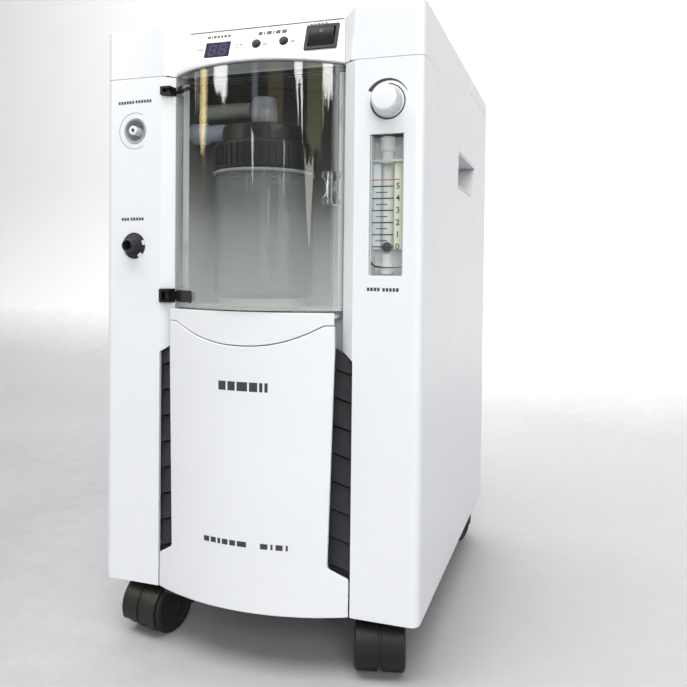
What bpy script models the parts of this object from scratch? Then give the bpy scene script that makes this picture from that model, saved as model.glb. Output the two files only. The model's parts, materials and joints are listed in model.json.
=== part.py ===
"""Home oxygen concentrator on four twin-wheel casters, built as separate pieces.

Metres, +Z up. The front faces -Y, +X is the right side seen from the front, and the
origin is on the floor under the middle of the machine.
"""

import math

import bmesh
import bpy
from mathutils import Matrix, Vector

for old in list(bpy.data.objects):
    bpy.data.objects.remove(old, do_unlink=True)

# ---- driving dimensions ----
WIDTH = 0.303
DEPTH = 0.3912
BODY_HEIGHT = 0.511
BOTTOM = 0.055  # lower edge of the cabinet above the floor
CORNER = 0.008  # radius of the cabinet's upright edges
WALL = 0.003
GAP = 0.0003  # between pieces that touch
REACH = 0.219  # how far the door bulge and the cord hooks reach from the middle

HALF = WIDTH / 2
FRONT = -DEPTH / 2
BACK = DEPTH / 2
TOP = BOTTOM + BODY_HEIGHT
SEAM = BOTTOM + 0.467  # joint under the control head
WRAP = -0.138  # rear edge of the front frame on the sides

COLUMN_EDGE = 0.0923  # inner edge of each flat front column
BAY_HALF = 0.0815  # half width of the bay between the columns
BAY_FRONT = -0.188
BULKHEAD = -0.172

PANEL_LEAN = math.radians(20)
PANEL_Y = -0.1889
PANEL_TOP_HALF = 0.07525
PANEL_LENGTH = (TOP - SEAM) / math.cos(PANEL_LEAN)
PANEL_THICK = 0.003

DOOR_CENTRE = -0.095
DOOR_RADIUS = 0.1240
DOOR_THICK = 0.0025
DOOR_LOW = 0.3128
DOOR_HIGH = 0.5205
HINGE_AXIS = (-0.0860, -0.1935)
HINGES = {"upper": (0.5050, 0.5123), "lower": (0.3167, 0.3286)}

APRON_CENTRE = -0.0048
APRON_RADIUS = 0.2115
APRON_THICK = 0.003
LEDGE = 0.3115  # top of the sill under the door
VENT_LOW = BOTTOM + 0.0305
VENT_HIGH = BOTTOM + 0.2163
VENT_PEAK = BOTTOM + 0.2257

JAR = (-0.0039, -0.163)
JAR_RADIUS = 0.0450
CAP_RADIUS = 0.0468
JAR_LOW = 0.3221
CAP_LOW = 0.4360
CAP_HIGH = 0.4600
NECK_HIGH = 0.4754
SPOUT_HEIGHT = 0.4740
INLET_HEIGHT = 0.4940

OXYGEN_PORT = (-0.11985, 0.4738)
NEBULISER_PORT = (-0.12055, 0.3680)
KNOB = (0.12075, 0.4860)
METER_LOW = 0.3435
METER_HIGH = 0.4597
METER_SIDES = (0.1057, 0.1345)
FLOAT_LOW = 0.3672
BORE_X = 0.1191
BORE_Y = -0.1868

DISPLAY = (-0.0439, 0.0258)
SWITCH = (0.0567, 0.0285)
ROCKER_DEPTH = 0.0030  # pivot behind the face of the panel
BUTTONS = {"minus": (-0.0054, 0.0281), "plus": (0.0210, 0.0284)}

HANDLE = [(-0.029, 0.4335), (0.064, 0.4335), (0.092, 0.4715), (-0.027, 0.4715)]
LID_FRONT = 0.0590
LID_LOW = 0.5497

STEM_X = 0.108
STEM_Y = 0.150
TRAIL = 0.015
WHEEL_RADIUS = 0.024
CASTER_YAW = {"front_left": -13, "front_right": 14, "rear_left": -8, "rear_right": 163}


# ---- materials ----
def material(name, colour, roughness, metallic=0.0, transmission=0.0):
    made = bpy.data.materials.new(name)
    made.use_nodes = True
    shader = made.node_tree.nodes["Principled BSDF"]
    shader.inputs["Base Color"].default_value = (*colour, 1.0)
    shader.inputs["Roughness"].default_value = roughness
    shader.inputs["Metallic"].default_value = metallic
    shader.inputs["Transmission Weight"].default_value = transmission
    made.diffuse_color = (*colour, 1.0)
    return made


WHITE = material("white_abs", (0.86, 0.87, 0.88), 0.32)
LIGHT_GREY = material("light_grey_plastic", (0.55, 0.56, 0.57), 0.45)
CHARCOAL = material("charcoal_plastic", (0.035, 0.037, 0.042), 0.5)
BLACK = material("black_plastic", (0.012, 0.012, 0.013), 0.4)
CLEAR = material("clear_plastic", (0.85, 0.88, 0.90), 0.08, transmission=0.9)
ALUMINIUM = material("aluminium", (0.75, 0.76, 0.77), 0.4, metallic=1.0)
BOARD = material("circuit_board", (0.02, 0.18, 0.08), 0.45)
FOAM = material("filter_foam", (0.06, 0.06, 0.065), 0.95)


# ---- outlines ----
def arc(centre, radius, start, end, steps):
    """Points on a circle from start to end degrees."""
    found = []
    for i in range(steps + 1):
        angle = math.radians(start + (end - start) * i / steps)
        found.append((centre[0] + radius * math.cos(angle), centre[1] + radius * math.sin(angle)))
    return found


def rectangle(x0, y0, x1, y1):
    return [(x0, y0), (x1, y0), (x1, y1), (x0, y1)]


def rounded(x0, y0, x1, y1, radius, steps=5):
    corners = [(x1 - radius, y0 + radius, -90), (x1 - radius, y1 - radius, 0)]
    corners += [(x0 + radius, y1 - radius, 90), (x0 + radius, y0 + radius, 180)]
    found = []
    for x, y, start in corners:
        found += arc((x, y), radius, start, start + 90, steps)
    return found


def beside(path, distance):
    """An open path moved to its left by a distance, with mitred corners."""
    found = []
    for i, point in enumerate(path):
        here = Vector(point)
        before = (here - Vector(path[i - 1])).normalized() if i else None
        after = (Vector(path[i + 1]) - here).normalized() if i < len(path) - 1 else before
        before = before or after
        left = (before.orthogonal() + after.orthogonal()).normalized()
        found.append(tuple(here + left * distance / left.dot(after.orthogonal())))
    return found


def bowed(centre_y, radius, half, steps=16):
    """Points on an arc that bulges to -Y, from -half to +half in x."""
    reach = math.degrees(math.asin(half / radius))
    return arc((0, centre_y), radius, -90 - reach, -90 + reach, steps)


def bow_y(centre_y, radius, x):
    return centre_y - math.sqrt(radius * radius - x * x)


# ---- solids ----
def to_axis(axis, u, v, along):
    return {"X": (along, u, v), "Y": (u, along, v), "Z": (u, v, along)}[axis]


def prism(outline, low, high, axis="Z", shape=None):
    """Extrudes a flat outline between two levels of one axis."""
    return loft([(outline, low), (outline, high)], axis, shape)


def loft(rings, axis="Z", shape=None):
    """Joins outlines with the same number of points, one per level, into a capped solid."""
    shape = shape or bmesh.new()
    made = []
    for outline, level in rings:
        made.append([shape.verts.new(to_axis(axis, u, v, level)) for u, v in outline])
    faces = [shape.faces.new(made[0]), shape.faces.new(made[-1])]
    count = len(made[0])
    for lower, upper in zip(made, made[1:]):
        for i in range(count):
            j = (i + 1) % count
            faces.append(shape.faces.new((lower[i], lower[j], upper[j], upper[i])))
    bmesh.ops.recalc_face_normals(shape, faces=faces)
    return shape


def block(low, high, shape=None):
    return prism(rectangle(low[0], low[1], high[0], high[1]), low[2], high[2], "Z", shape)


def turned(profile, steps=24, axis="Z", centre=(0, 0, 0), closed=False):
    """Spins (radius, level) points round an axis; a closed profile leaves a bore."""
    shape = bmesh.new()
    points = [shape.verts.new((r, 0, level)) for r, level in profile]
    pairs = list(zip(points, points[1:]))
    if closed:
        pairs.append((points[-1], points[0]))
    edges = [shape.edges.new(pair) for pair in pairs]
    bmesh.ops.spin(shape, geom=points + edges, cent=(0, 0, 0), axis=(0, 0, 1),
                   angle=2 * math.pi, steps=steps, use_merge=True)
    bmesh.ops.remove_doubles(shape, verts=shape.verts, dist=1e-6)
    bmesh.ops.recalc_face_normals(shape, faces=shape.faces)
    turn = {"Z": Matrix(), "X": Matrix.Rotation(math.pi / 2, 4, "Y"),
            "Y": Matrix.Rotation(-math.pi / 2, 4, "X")}[axis]
    bmesh.ops.transform(shape, matrix=Matrix.Translation(centre) @ turn, verts=shape.verts)
    return shape


def cylinder(radius, low, high, axis, centre, steps=20):
    return turned([(0, low), (radius, low), (radius, high), (0, high)], steps, axis, centre)


def mirrored(shape):
    bmesh.ops.scale(shape, vec=(-1, 1, 1), verts=shape.verts)
    bmesh.ops.reverse_faces(shape, faces=shape.faces)
    return shape


def sloped(shape, rise):
    """Shears a shape so that its height changes with its distance from the middle plane."""
    for vert in shape.verts:
        vert.co.z += rise * abs(vert.co.x)
    return shape


# ---- objects ----
def add(name, shape, finish=None, parent=None, location=(0, 0, 0), rotation=(0, 0, 0), round_piece=False):
    mesh = bpy.data.meshes.new(name)
    shape.to_mesh(mesh)
    shape.free()
    made = bpy.data.objects.new(name, mesh)
    bpy.context.scene.collection.objects.link(made)
    made.parent = parent
    made.location = location
    made.rotation_euler = rotation
    if finish:
        mesh.materials.append(finish)
    if round_piece:
        mesh.shade_smooth()
        mesh.set_sharp_from_angle(angle=math.radians(35))
    return made


def empty(name, location, rotation=(0, 0, 0), parent=None):
    made = bpy.data.objects.new(name, None)
    bpy.context.scene.collection.objects.link(made)
    made.location = location
    made.rotation_euler = rotation
    made.parent = parent
    return made


SAME = object()


def apply_shape(target, shape, operation, parent=SAME):
    """Adds a Boolean of a hidden helper, which shares the target's place unless a parent is given."""
    own = parent is SAME
    helper = add(f"{target.name}_{operation.lower()}_{len(target.modifiers)}", shape,
                 parent=target.parent if own else parent,
                 location=target.location if own else (0, 0, 0),
                 rotation=target.rotation_euler if own else (0, 0, 0))
    helper.hide_render = True
    helper.display_type = "WIRE"
    step = target.modifiers.new(operation.title(), "BOOLEAN")
    step.object = helper
    step.operation = operation
    step.solver = "EXACT"
    return helper


def cut(target, shape, parent=SAME):
    return apply_shape(target, shape, "DIFFERENCE", parent)


def join(target, shape, parent=SAME):
    return apply_shape(target, shape, "UNION", parent)


def keep(target, shape, parent=SAME):
    return apply_shape(target, shape, "INTERSECT", parent)


PANEL_FRAME = empty("control_panel_frame", (0, PANEL_Y, SEAM), (-PANEL_LEAN, 0, 0))


# ---- chassis ----
def base_plate():
    plate = add("base_plate", prism(rounded(-0.146, -0.190, 0.146, 0.190, 0.006, 2), 0.0530, 0.0585), CHARCOAL)
    join(plate, block((-0.1000, -0.1895, 0.0465), (0.1000, 0.1895, 0.0540)))
    for side in (-1, 1):
        for end in (-1, 1):
            centre = (side * STEM_X, end * STEM_Y, 0)
            cut(plate, cylinder(0.0440, 0.040, 0.0535, "Z", centre, 18))
            cut(plate, cylinder(0.0056, 0.050, 0.062, "Z", centre, 10))
    slots = bmesh.new()
    for i in range(5):
        y = -0.060 + 0.020 * i
        block((-0.045, y, 0.040), (0.045, y + 0.009, 0.062), slots)
    cut(plate, slots)


def front_frame():
    left = [(-HALF, WRAP)]
    left += arc((-HALF + CORNER, FRONT + CORNER), CORNER, 180, 270, 5)
    left += [(-COLUMN_EDGE, FRONT), (-BAY_HALF, BAY_FRONT), (-BAY_HALF, BULKHEAD)]
    path = left + [(-x, y) for x, y in reversed(left)]
    outline = path + beside(path, WALL)[::-1]
    frame = add("front_frame", prism(outline, BOTTOM, SEAM - GAP), WHITE)
    windows = block((-0.079, -0.176, LEDGE), (0.079, -0.165, 0.5178))
    for side in (-1, 1):
        block((side * 0.0535 - 0.0255, -0.176, 0.095), (side * 0.0535 + 0.0255, -0.165, 0.240), windows)
    block((-0.0860, -0.1900, 0.050), (0.0860, -0.1650, 0.0588), windows)
    cut(frame, windows)
    edge = COLUMN_EDGE + GAP
    vent = [(0.0780, BOTTOM - 0.01), (edge, BOTTOM - 0.01), (edge, VENT_HIGH), (0.0780, VENT_PEAK + 0.0006)]
    cut(frame, prism(vent, -0.200, BULKHEAD - 0.0001, "Y"))
    cut(frame, mirrored(prism(vent, -0.200, BULKHEAD - 0.0001, "Y")))
    holes = block((METER_SIDES[0], -0.200, METER_LOW), (METER_SIDES[1], -0.185, METER_HIGH))
    for low, high in HINGES.values():
        block((-0.0926, -0.199, low - GAP), (-0.0790, -0.1862, high + GAP), holes)
    cut(frame, holes)
    for radius, (x, z) in ((0.0036, KNOB), (0.0115, OXYGEN_PORT), (0.0121, NEBULISER_PORT)):
        cut(frame, cylinder(radius, -0.200, -0.185, "Y", (x, 0, z), 22))


def recess(grow, back, low, high):
    """The sloping pocket in the control head, at two levels, with the sides folded corner to corner."""
    shape = bmesh.new()
    rings = []
    for z in (low, high):
        share = (z - SEAM) / (TOP - SEAM)
        half = BAY_HALF + (PANEL_TOP_HALF - BAY_HALF) * share + grow
        y = PANEL_Y + (z - SEAM) * math.tan(PANEL_LEAN)
        right = [(COLUMN_EDGE + grow, FRONT - 0.02), (COLUMN_EDGE + grow, FRONT), (half, y), (half, y + back)]
        ring = right + [(-x, level) for x, level in reversed(right)]
        rings.append([shape.verts.new((x, level, z)) for x, level in ring])
    lower, upper = rings
    shape.faces.new(lower)
    shape.faces.new(upper)
    for i in range(len(lower)):
        j = (i + 1) % len(lower)
        if i == 1:
            shape.faces.new((lower[i], lower[j], upper[i]))
            shape.faces.new((lower[j], upper[j], upper[i]))
        elif i == len(lower) - 3:
            shape.faces.new((lower[i], lower[j], upper[j]))
            shape.faces.new((lower[i], upper[j], upper[i]))
        else:
            shape.faces.new((lower[i], lower[j], upper[j], upper[i]))
    bmesh.ops.recalc_face_normals(shape, faces=shape.faces)
    return shape


def cabinet_shell():
    shell = add("cabinet_shell", prism(rounded(-HALF, FRONT, HALF, BACK, CORNER), BOTTOM, TOP), WHITE)
    cut(shell, block((-0.16, -0.21, 0.04), (0.16, WRAP + GAP, SEAM)))
    inner = rounded(-HALF + WALL, FRONT + WALL, HALF - WALL, BACK - WALL, CORNER - WALL)
    cavity = cut(shell, prism(inner, 0.04, TOP - WALL))
    cut(cavity, recess(WALL, 0.0035 + WALL, SEAM - 0.010, TOP + 0.010))
    cut(shell, recess(0, 0.0035, SEAM - 0.001, TOP + 0.001))
    cut(shell, block((-0.068, -0.010, 0.006), (0.078, 0.020, 0.0425)), PANEL_FRAME)
    cut(shell, block((-0.1400, 0.188, 0.0620), (0.1400, 0.20, 0.5440)))
    cut(shell, block((-0.16, LID_FRONT, LID_LOW - GAP), (0.16, 0.21, 0.58)))
    notches = bmesh.new()
    for side in (-1, 1):
        block((side * 0.150 - 0.004, 0.0555, 0.5468), (side * 0.150 + 0.004, 0.0600, 0.5510), notches)
        prism(HANDLE, side * 0.150 - 0.005, side * 0.150 + 0.005, "X", notches)
    cut(shell, notches)


def rear_top_cover():
    lid = add("rear_top_cover", prism(rounded(-HALF, FRONT, HALF, BACK, CORNER), LID_LOW, TOP), WHITE)
    cut(lid, block((-0.16, -0.21, 0.54), (0.16, LID_FRONT + GAP, 0.58)))
    inner = rounded(-HALF + WALL, FRONT + WALL, HALF - WALL, BACK - WALL, CORNER - WALL)
    cut(lid, prism(inner, 0.54, TOP - WALL))
    notches = bmesh.new()
    for side in (-1, 1):
        block((side * 0.150 - 0.004, 0.0550, 0.5468), (side * 0.150 + 0.004, 0.0612, 0.5512), notches)
    cut(lid, notches)


def handle_pocket(side):
    centre = (sum(y for y, _ in HANDLE) / 4, sum(z for _, z in HANDLE) / 4)

    def scaled(inset, lift):
        found = []
        for y, z in HANDLE:
            found.append((y - math.copysign(inset, y - centre[0]), z - math.copysign(inset, z - centre[1]) + lift))
        return found

    mouth, floor = HALF - 0.0002, HALF - 0.030
    shape = loft([(scaled(GAP + 0.004, 0.006), floor), (scaled(GAP, 0), HALF - 0.0045), (scaled(GAP, 0), mouth)], "X")
    hollow = loft([(scaled(0.0090, 0.006), floor + 0.0025), (scaled(0.0026, 0), HALF - 0.0045),
                   (scaled(0.0026, 0), mouth + 0.002)], "X")
    if side < 0:
        mirrored(shape)
        mirrored(hollow)
    pocket = add("handle_pocket_left" if side < 0 else "handle_pocket_right", shape, WHITE)
    cut(pocket, hollow)


# ---- control head ----
def control_panel():
    top = PANEL_LENGTH - 0.0002
    plate = [(-BAY_HALF + GAP, GAP), (BAY_HALF - GAP, GAP), (PANEL_TOP_HALF - GAP, top), (-PANEL_TOP_HALF + GAP, top)]
    panel = add("control_panel", prism(plate, 0, PANEL_THICK, "Y"), WHITE, PANEL_FRAME)

    def brow(inset):
        half = BAY_HALF - 0.0013
        front = [(x, min(y, -0.1874)) for x, y in bowed(DOOR_CENTRE, DOOR_RADIUS - inset, half)]
        return front + [(half, -0.1868), (-half, -0.1868)]

    join(panel, loft([(brow(0), SEAM + GAP), (brow(0.0002), SEAM + 0.0035), (brow(0.0030), SEAM + 0.0060)]), None)
    x, z = DISPLAY
    openings = block((x - 0.0128, -0.01, z - 0.0083), (x + 0.0128, 0.02, z + 0.0083))
    x, z = SWITCH
    block((x - 0.0139, -0.01, z - 0.0113), (x + 0.0139, 0.02, z + 0.0113), openings)
    cut(panel, openings)
    for x, z in BUTTONS.values():
        cut(panel, cylinder(0.0043, -0.01, 0.01, "Y", (x, 0, z), 16))


def display_module():
    x, z = DISPLAY
    add("display_module", block((x - 0.0125, 0.0006, z - 0.0080), (x + 0.0125, 0.010, z + 0.0080)), BLACK, PANEL_FRAME)


def timer_button(name, place):
    profile = [(0, -0.0022), (0.0028, -0.0020), (0.0040, -0.0012), (0.0040, 0.0055), (0, 0.0055)]
    add(f"timer_button_{name}", turned(profile, 16, "Y"), BLACK, PANEL_FRAME, (place[0], 0, place[1]),
        round_piece=True)


def power_switch():
    x, z = SWITCH
    place = (x, 0, z)
    flange = rounded(-0.0152, -0.0126, 0.0152, 0.0126, 0.0012, 3)
    bezel = add("switch_bezel", prism(flange, -0.0018, -GAP, "Y"), BLACK, PANEL_FRAME, place)
    join(bezel, block((-0.0136, -0.0010, -0.0110), (0.0136, 0.0180, 0.0110)))
    cut(bezel, block((-0.0120, -0.0100, -0.0094), (0.0120, 0.0165, 0.0094)))
    profile = [(-0.0070, 0.0076), (-0.0068, 0.0), (-0.0028, -0.0088), (0.0035, -0.0080), (0.0080, 0.0),
               (0.0035, 0.0080)]
    add("switch_rocker", prism(profile, -0.0116, 0.0116, "X"), BLACK, PANEL_FRAME, (x, ROCKER_DEPTH, z))


# ---- humidifier bay ----
def chamber_liner():
    low, high = 0.3123, 0.5173
    liner = add("chamber_liner", block((-0.0785, -0.1790, low), (0.0785, -0.1080, high)), LIGHT_GREY)
    join(liner, block((-0.0812, -0.1790, low), (0.0812, -0.1768, high)))
    cut(liner, block((-0.0760, -0.190, low + 0.0025), (0.0760, -0.1105, high - 0.0025)))
    join(liner, cylinder(0.0400, LEDGE + 0.0004, JAR_LOW - GAP, "Z", (*JAR, 0), 24))
    cut(liner, cylinder(0.0106, -0.09, -0.06, "X", (0, JAR[1], SPOUT_HEIGHT), 24))
    cut(liner, cylinder(0.0070, -0.13, -0.09, "Y", (-0.066, 0, INLET_HEIGHT), 20))


def chamber_door():
    front = bowed(DOOR_CENTRE, DOOR_RADIUS, 0.0806, 20)
    path = [(-0.0806, -0.1800)] + front + [(0.0806, -0.1830)]
    outline = path + beside(path, DOOR_THICK)[::-1]
    origin = (*HINGE_AXIS, 0)
    door = add("chamber_door", prism(outline, DOOR_LOW, DOOR_HIGH), CLEAR, round_piece=True)
    door.data.transform(Matrix.Translation(-Vector(origin)))
    door.location = origin
    notches = bmesh.new()
    for low, high in HINGES.values():
        block((-0.0860, -0.2000, low - 0.0006), (-0.0775, -0.1700, high + 0.0006), notches)
    cut(door, notches, None)


def hinge(name, low, high):
    x, y = HINGE_AXIS
    lug = 0.0020
    bracket = add(f"hinge_bracket_{name}", block((-0.0923, -0.1978, low), (-0.0818, -0.1868, high)), BLACK)
    swing = [(x - 0.0034, y - 0.010), (x + 0.010, y - 0.010), (x + 0.010, y + 0.010), (x - 0.0012, y + 0.0034),
             (x - 0.0034, y + 0.0012)]
    cut(bracket, prism(swing, low + lug, high - lug))
    cut(bracket, cylinder(0.0014, low - 0.001, high + 0.001, "Z", (x, y, 0), 8))
    outer, inner = DOOR_RADIUS - DOOR_THICK - GAP, DOOR_RADIUS - 2 * DOOR_THICK - GAP
    reach = -0.0625 if name == "upper" else -0.0520
    blade = [(x - 0.0010, y + 0.0016), (x + 0.0008, y - 0.0018), (-0.0790, bow_y(DOOR_CENTRE, outer, 0.0790) + 0.0012)]
    steps = 5
    for i in range(steps):
        px = -0.0776 + (reach + 0.0776) * i / (steps - 1)
        blade.append((px, bow_y(DOOR_CENTRE, outer, px)))
    for i in range(steps):
        px = reach + (-0.0776 - reach) * i / (steps - 1)
        blade.append((px, bow_y(DOOR_CENTRE, inner, px)))
    blade.append((-0.0796, -0.1852))
    arm = add(f"hinge_arm_{name}", prism(blade, low + lug + GAP, high - lug - GAP), BLACK)
    arm.data.transform(Matrix.Translation((-x, -y, 0)))
    arm.location = (x, y, 0)
    join(arm, cylinder(0.0026, low + lug + GAP, high - lug - GAP, "Z", (0, 0, 0), 12))
    join(arm, cylinder(0.0011, low, high, "Z", (0, 0, 0), 8))


def door_latch():
    radius = DOOR_RADIUS + GAP
    centre_z = 0.4163
    outer = [(x, y) for x, y in bowed(DOOR_CENTRE, radius + 0.0022, 0.0797, 40) if x > 0.0608]
    inner = [(x, y) for x, y in bowed(DOOR_CENTRE, radius, 0.0790, 40) if x > 0.0608]
    latch = add("door_latch", prism(outer + inner[::-1], centre_z - 0.0139, centre_z + 0.0139), CLEAR)
    waist = bmesh.new()
    for x0, x1 in ((0.0550, 0.0665), (0.0745, 0.0850)):
        tip = x1 if x0 < 0.06 else x0
        far = x0 if x0 < 0.06 else x1
        bow = [(far, -0.0095), (far, 0.0095), (tip, 0.0050), (tip, -0.0050)]
        prism([(x, z + centre_z) for x, z in bow], -0.22, -0.17, "Y", waist)
    cut(latch, waist)
    rib = [(0.0690, -0.2035), (0.0722, -0.2020), (0.0722, -0.1975), (0.0690, -0.1992)]
    join(latch, prism(rib, centre_z - 0.0125, centre_z + 0.0125))


def humidifier():
    place = (*JAR, 0)
    r, low = JAR_RADIUS, JAR_LOW
    jar = [(0, low), (r - 0.004, low), (r, low + 0.004), (r, CAP_LOW - 0.0045), (r - 0.0025, CAP_LOW - 0.002),
           (r - 0.0025, CAP_HIGH - 0.0035), (r - 0.0050, CAP_HIGH - 0.0035), (r - 0.0050, CAP_LOW - 0.004),
           (r - 0.0020, CAP_LOW - 0.0075), (r - 0.0020, low + 0.005), (r - 0.005, low + 0.0025), (0, low + 0.0025)]
    add("humidifier_jar", turned(jar, 24, "Z", place), CLEAR, round_piece=True)
    cap = [(0, CAP_HIGH - 0.0030), (r - 0.0020, CAP_HIGH - 0.0030), (r - 0.0020, CAP_LOW), (CAP_RADIUS, CAP_LOW),
           (CAP_RADIUS, CAP_HIGH - 0.0015), (CAP_RADIUS - 0.0015, CAP_HIGH), (0.0385, CAP_HIGH),
           (0.0380, NECK_HIGH - 0.0015), (0.0365, NECK_HIGH), (0.0080, NECK_HIGH), (0.0080, NECK_HIGH + 0.0046),
           (0, NECK_HIGH + 0.0046)]
    add("humidifier_cap", turned(cap, 24, "Z", place), BLACK, round_piece=True)
    low = NECK_HIGH + 0.0049
    nut = [(0, low), (0.0118, low), (0.0122, low + 0.0010), (0.0122, low + 0.0140), (0.0112, low + 0.0155),
           (0.0112, low + 0.0222), (0.0100, low + 0.0232), (0, low + 0.0232)]
    add("inlet_nut", turned(nut, 18, "Z", place), LIGHT_GREY, round_piece=True)
    dip = CAP_HIGH - 0.0033
    stem = [(0, dip), (0.0040, dip), (0.0040, 0.3480), (0.0070, 0.3460), (0.0070, 0.3330), (0.0060, 0.3310),
            (0, 0.3310)]
    add("bubbler_tube", turned(stem, 14, "Z", place), CLEAR, round_piece=True)
    wall = -0.0788 - JAR[0]
    spout = [(0, wall + 0.0002), (0.0100, wall + 0.0002), (0.0100, wall + 0.0165), (0.0078, wall + 0.0185),
             (0.0078, -0.0384), (0, -0.0384)]
    add("outlet_spout", turned(spout, 18, "X", (JAR[0], JAR[1], SPOUT_HEIGHT)), CLEAR, round_piece=True)


def blended(points, steps):
    """A cubic Bezier through four control points."""
    found = []
    for i in range(steps + 1):
        t = i / steps
        weights = ((1 - t) ** 3, 3 * t * (1 - t) ** 2, 3 * t * t * (1 - t), t ** 3)
        found.append(sum((Vector(p) * w for p, w in zip(points, weights)), Vector()))
    return found


def tube(name, points, radius, finish):
    curve = bpy.data.curves.new(name, "CURVE")
    curve.dimensions = "3D"
    curve.bevel_depth = radius
    curve.bevel_resolution = 3
    curve.use_fill_caps = True
    line = curve.splines.new("POLY")
    line.points.add(len(points) - 1)
    for target, point in zip(line.points, points):
        target.co = (*point, 1)
    curve.materials.append(finish)
    bpy.context.scene.collection.objects.link(bpy.data.objects.new(name, curve))


def inlet_tube():
    z = INLET_HEIGHT
    start = JAR[0] - 0.0128
    route = [(start, JAR[1], z), (start - 0.010, JAR[1], z)]
    route += blended([(-0.0350, JAR[1], z), (-0.0600, JAR[1], z), (-0.066, -0.157, z), (-0.066, -0.135, z)], 8)
    route += [(-0.066, -0.120, z), (-0.066, -0.098, z)]
    tube("inlet_tube", route, 0.0064, LIGHT_GREY)


# ---- front covers ----
def wave(x):
    share = min(1.0, abs(x) / 0.070)
    return BOTTOM + 0.2274 + 0.0186 * share ** 2.2


def apron_band(low, high, half):
    outer = bowed(APRON_CENTRE, APRON_RADIUS, half, 18)
    inner = bowed(APRON_CENTRE, APRON_RADIUS - APRON_THICK, half * (1 - APRON_THICK / APRON_RADIUS), 18)
    return prism(outer + inner[::-1], low, high)


def wave_points(half, shift, steps=20):
    found = []
    for i in range(steps + 1):
        x = -half + 2 * half * i / steps
        found.append((x, wave(x) + shift))
    return found


def lower_panel():
    panel = add("lower_panel", apron_band(BOTTOM, 0.315, COLUMN_EDGE - GAP), WHITE, round_piece=True)
    corner = arc((0.0795, BOTTOM + 0.0445), 0.0050, -115, -180, 4)
    right = [(0.0950, BOTTOM - 0.005), (0.0950, BOTTOM + 0.0292)] + corner + [(0.0787, BOTTOM + 0.2250)]
    top = wave_points(0.0784, -GAP)
    outline = right + top[::-1] + [(-x, z) for x, z in reversed(right)]
    keep(panel, prism(outline, -0.25, -0.15, "Y"))


def door_sill():
    sill = add("door_sill", apron_band(0.265, LEDGE, 0.0784), WHITE, round_piece=True)
    keep(sill, prism(wave_points(0.0784, GAP) + [(0.0784, 0.32), (-0.0784, 0.32)], -0.25, -0.15, "Y"))
    shelf = bowed(APRON_CENTRE, APRON_RADIUS - 0.0012, 0.0780) + [(0.0780, -0.1725), (-0.0780, -0.1725)]
    join(sill, prism(shelf, LEDGE - 0.0032, LEDGE - 0.0004))


def vent_grille(side):
    pitch, tilt = 0.026, -math.tan(math.radians(15))
    proud, recessed, rear = -0.1916, -0.1886, -0.1845
    levels = 9
    start = VENT_LOW - 0.0180
    profile = []
    for i in range(levels):
        z = start + pitch * i
        profile += [(proud, z), (recessed, z + pitch - 0.0002)]
    profile += [(rear, start + pitch * levels), (rear, start)]
    rise = -tilt * 0.078
    slats = sloped(prism(profile, 0.068, 0.100, "X"), tilt)
    slits = bmesh.new()
    for i in range(levels):
        z = start + pitch * i
        block((0.0745, -0.20, z - 0.0034), (0.0905, -0.18, z - 0.0008), slits)
    sloped(slits, tilt)
    for shape in (slats, slits):
        bmesh.ops.translate(shape, verts=shape.verts, vec=(0, 0, rise))
    slope = (VENT_PEAK - VENT_HIGH) / (COLUMN_EDGE - 0.0780)
    peak_z = VENT_HIGH - GAP + slope * (COLUMN_EDGE - 0.0712)
    outline = [(0.0712, VENT_LOW - 0.003), (0.0972, VENT_LOW - 0.003), (0.0972, VENT_HIGH - 0.0012),
               (COLUMN_EDGE, VENT_HIGH - 0.0012), (0.0712, peak_z - 0.0012)]
    frame = prism(outline, -0.21, -0.17, "Y")
    if side < 0:
        for shape in (slats, slits, frame):
            mirrored(shape)
    grille = add("vent_grille_left" if side < 0 else "vent_grille_right", slats, CHARCOAL)
    keep(grille, frame)
    cut(grille, slits)


# ---- ports and flow control ----
def oxygen_outlet():
    x, z = OXYGEN_PORT
    centre = (x, 0, z)
    rim = [(0.0112, FRONT - 0.0006), (0.0112, -0.1830), (0.0046, -0.1830), (0.0046, -0.1868), (0.0098, FRONT - 0.0002)]
    add("oxygen_bezel", turned(rim, 22, "Y", centre, closed=True), LIGHT_GREY, round_piece=True)
    barb = [(0.0017, -0.2000), (0.0034, -0.2000), (0.0041, -0.1975), (0.0034, -0.1950), (0.0041, -0.1925),
            (0.0034, -0.1900), (0.0042, -0.1885), (0.0042, -0.1835), (0.0042, -0.1756), (0.0017, -0.1756)]
    add("oxygen_barb", turned(barb, 14, "Y", centre, closed=True), WHITE, round_piece=True)


def nebuliser_outlet():
    x, z = NEBULISER_PORT
    centre = (x, 0, z)
    profile = [(0.0042, -0.2060), (0.0052, -0.2068), (0.0060, -0.2050), (0.0063, -0.1975), (0.0070, -0.1972),
               (0.0074, -0.1945), (0.0116, -0.1945), (0.0116, -0.1900), (0.0080, -0.1850), (0.0080, -0.1720),
               (0.0042, -0.1720)]
    outlet = add("nebuliser_outlet", turned(profile, 20, "Y", centre, closed=True), CHARCOAL, round_piece=True)
    keys = bmesh.new()
    for angle in (28, -38, 180):
        turn = Matrix.Translation(centre) @ Matrix.Rotation(math.radians(-angle), 4, "Y")
        key = block((0.0086, -0.20, -0.0021), (0.0140, -0.1893, 0.0021))
        bmesh.ops.transform(key, matrix=turn, verts=key.verts)
        mesh = bpy.data.meshes.new("key")
        key.to_mesh(mesh)
        key.free()
        keys.from_mesh(mesh)
    cut(outlet, keys)


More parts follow.
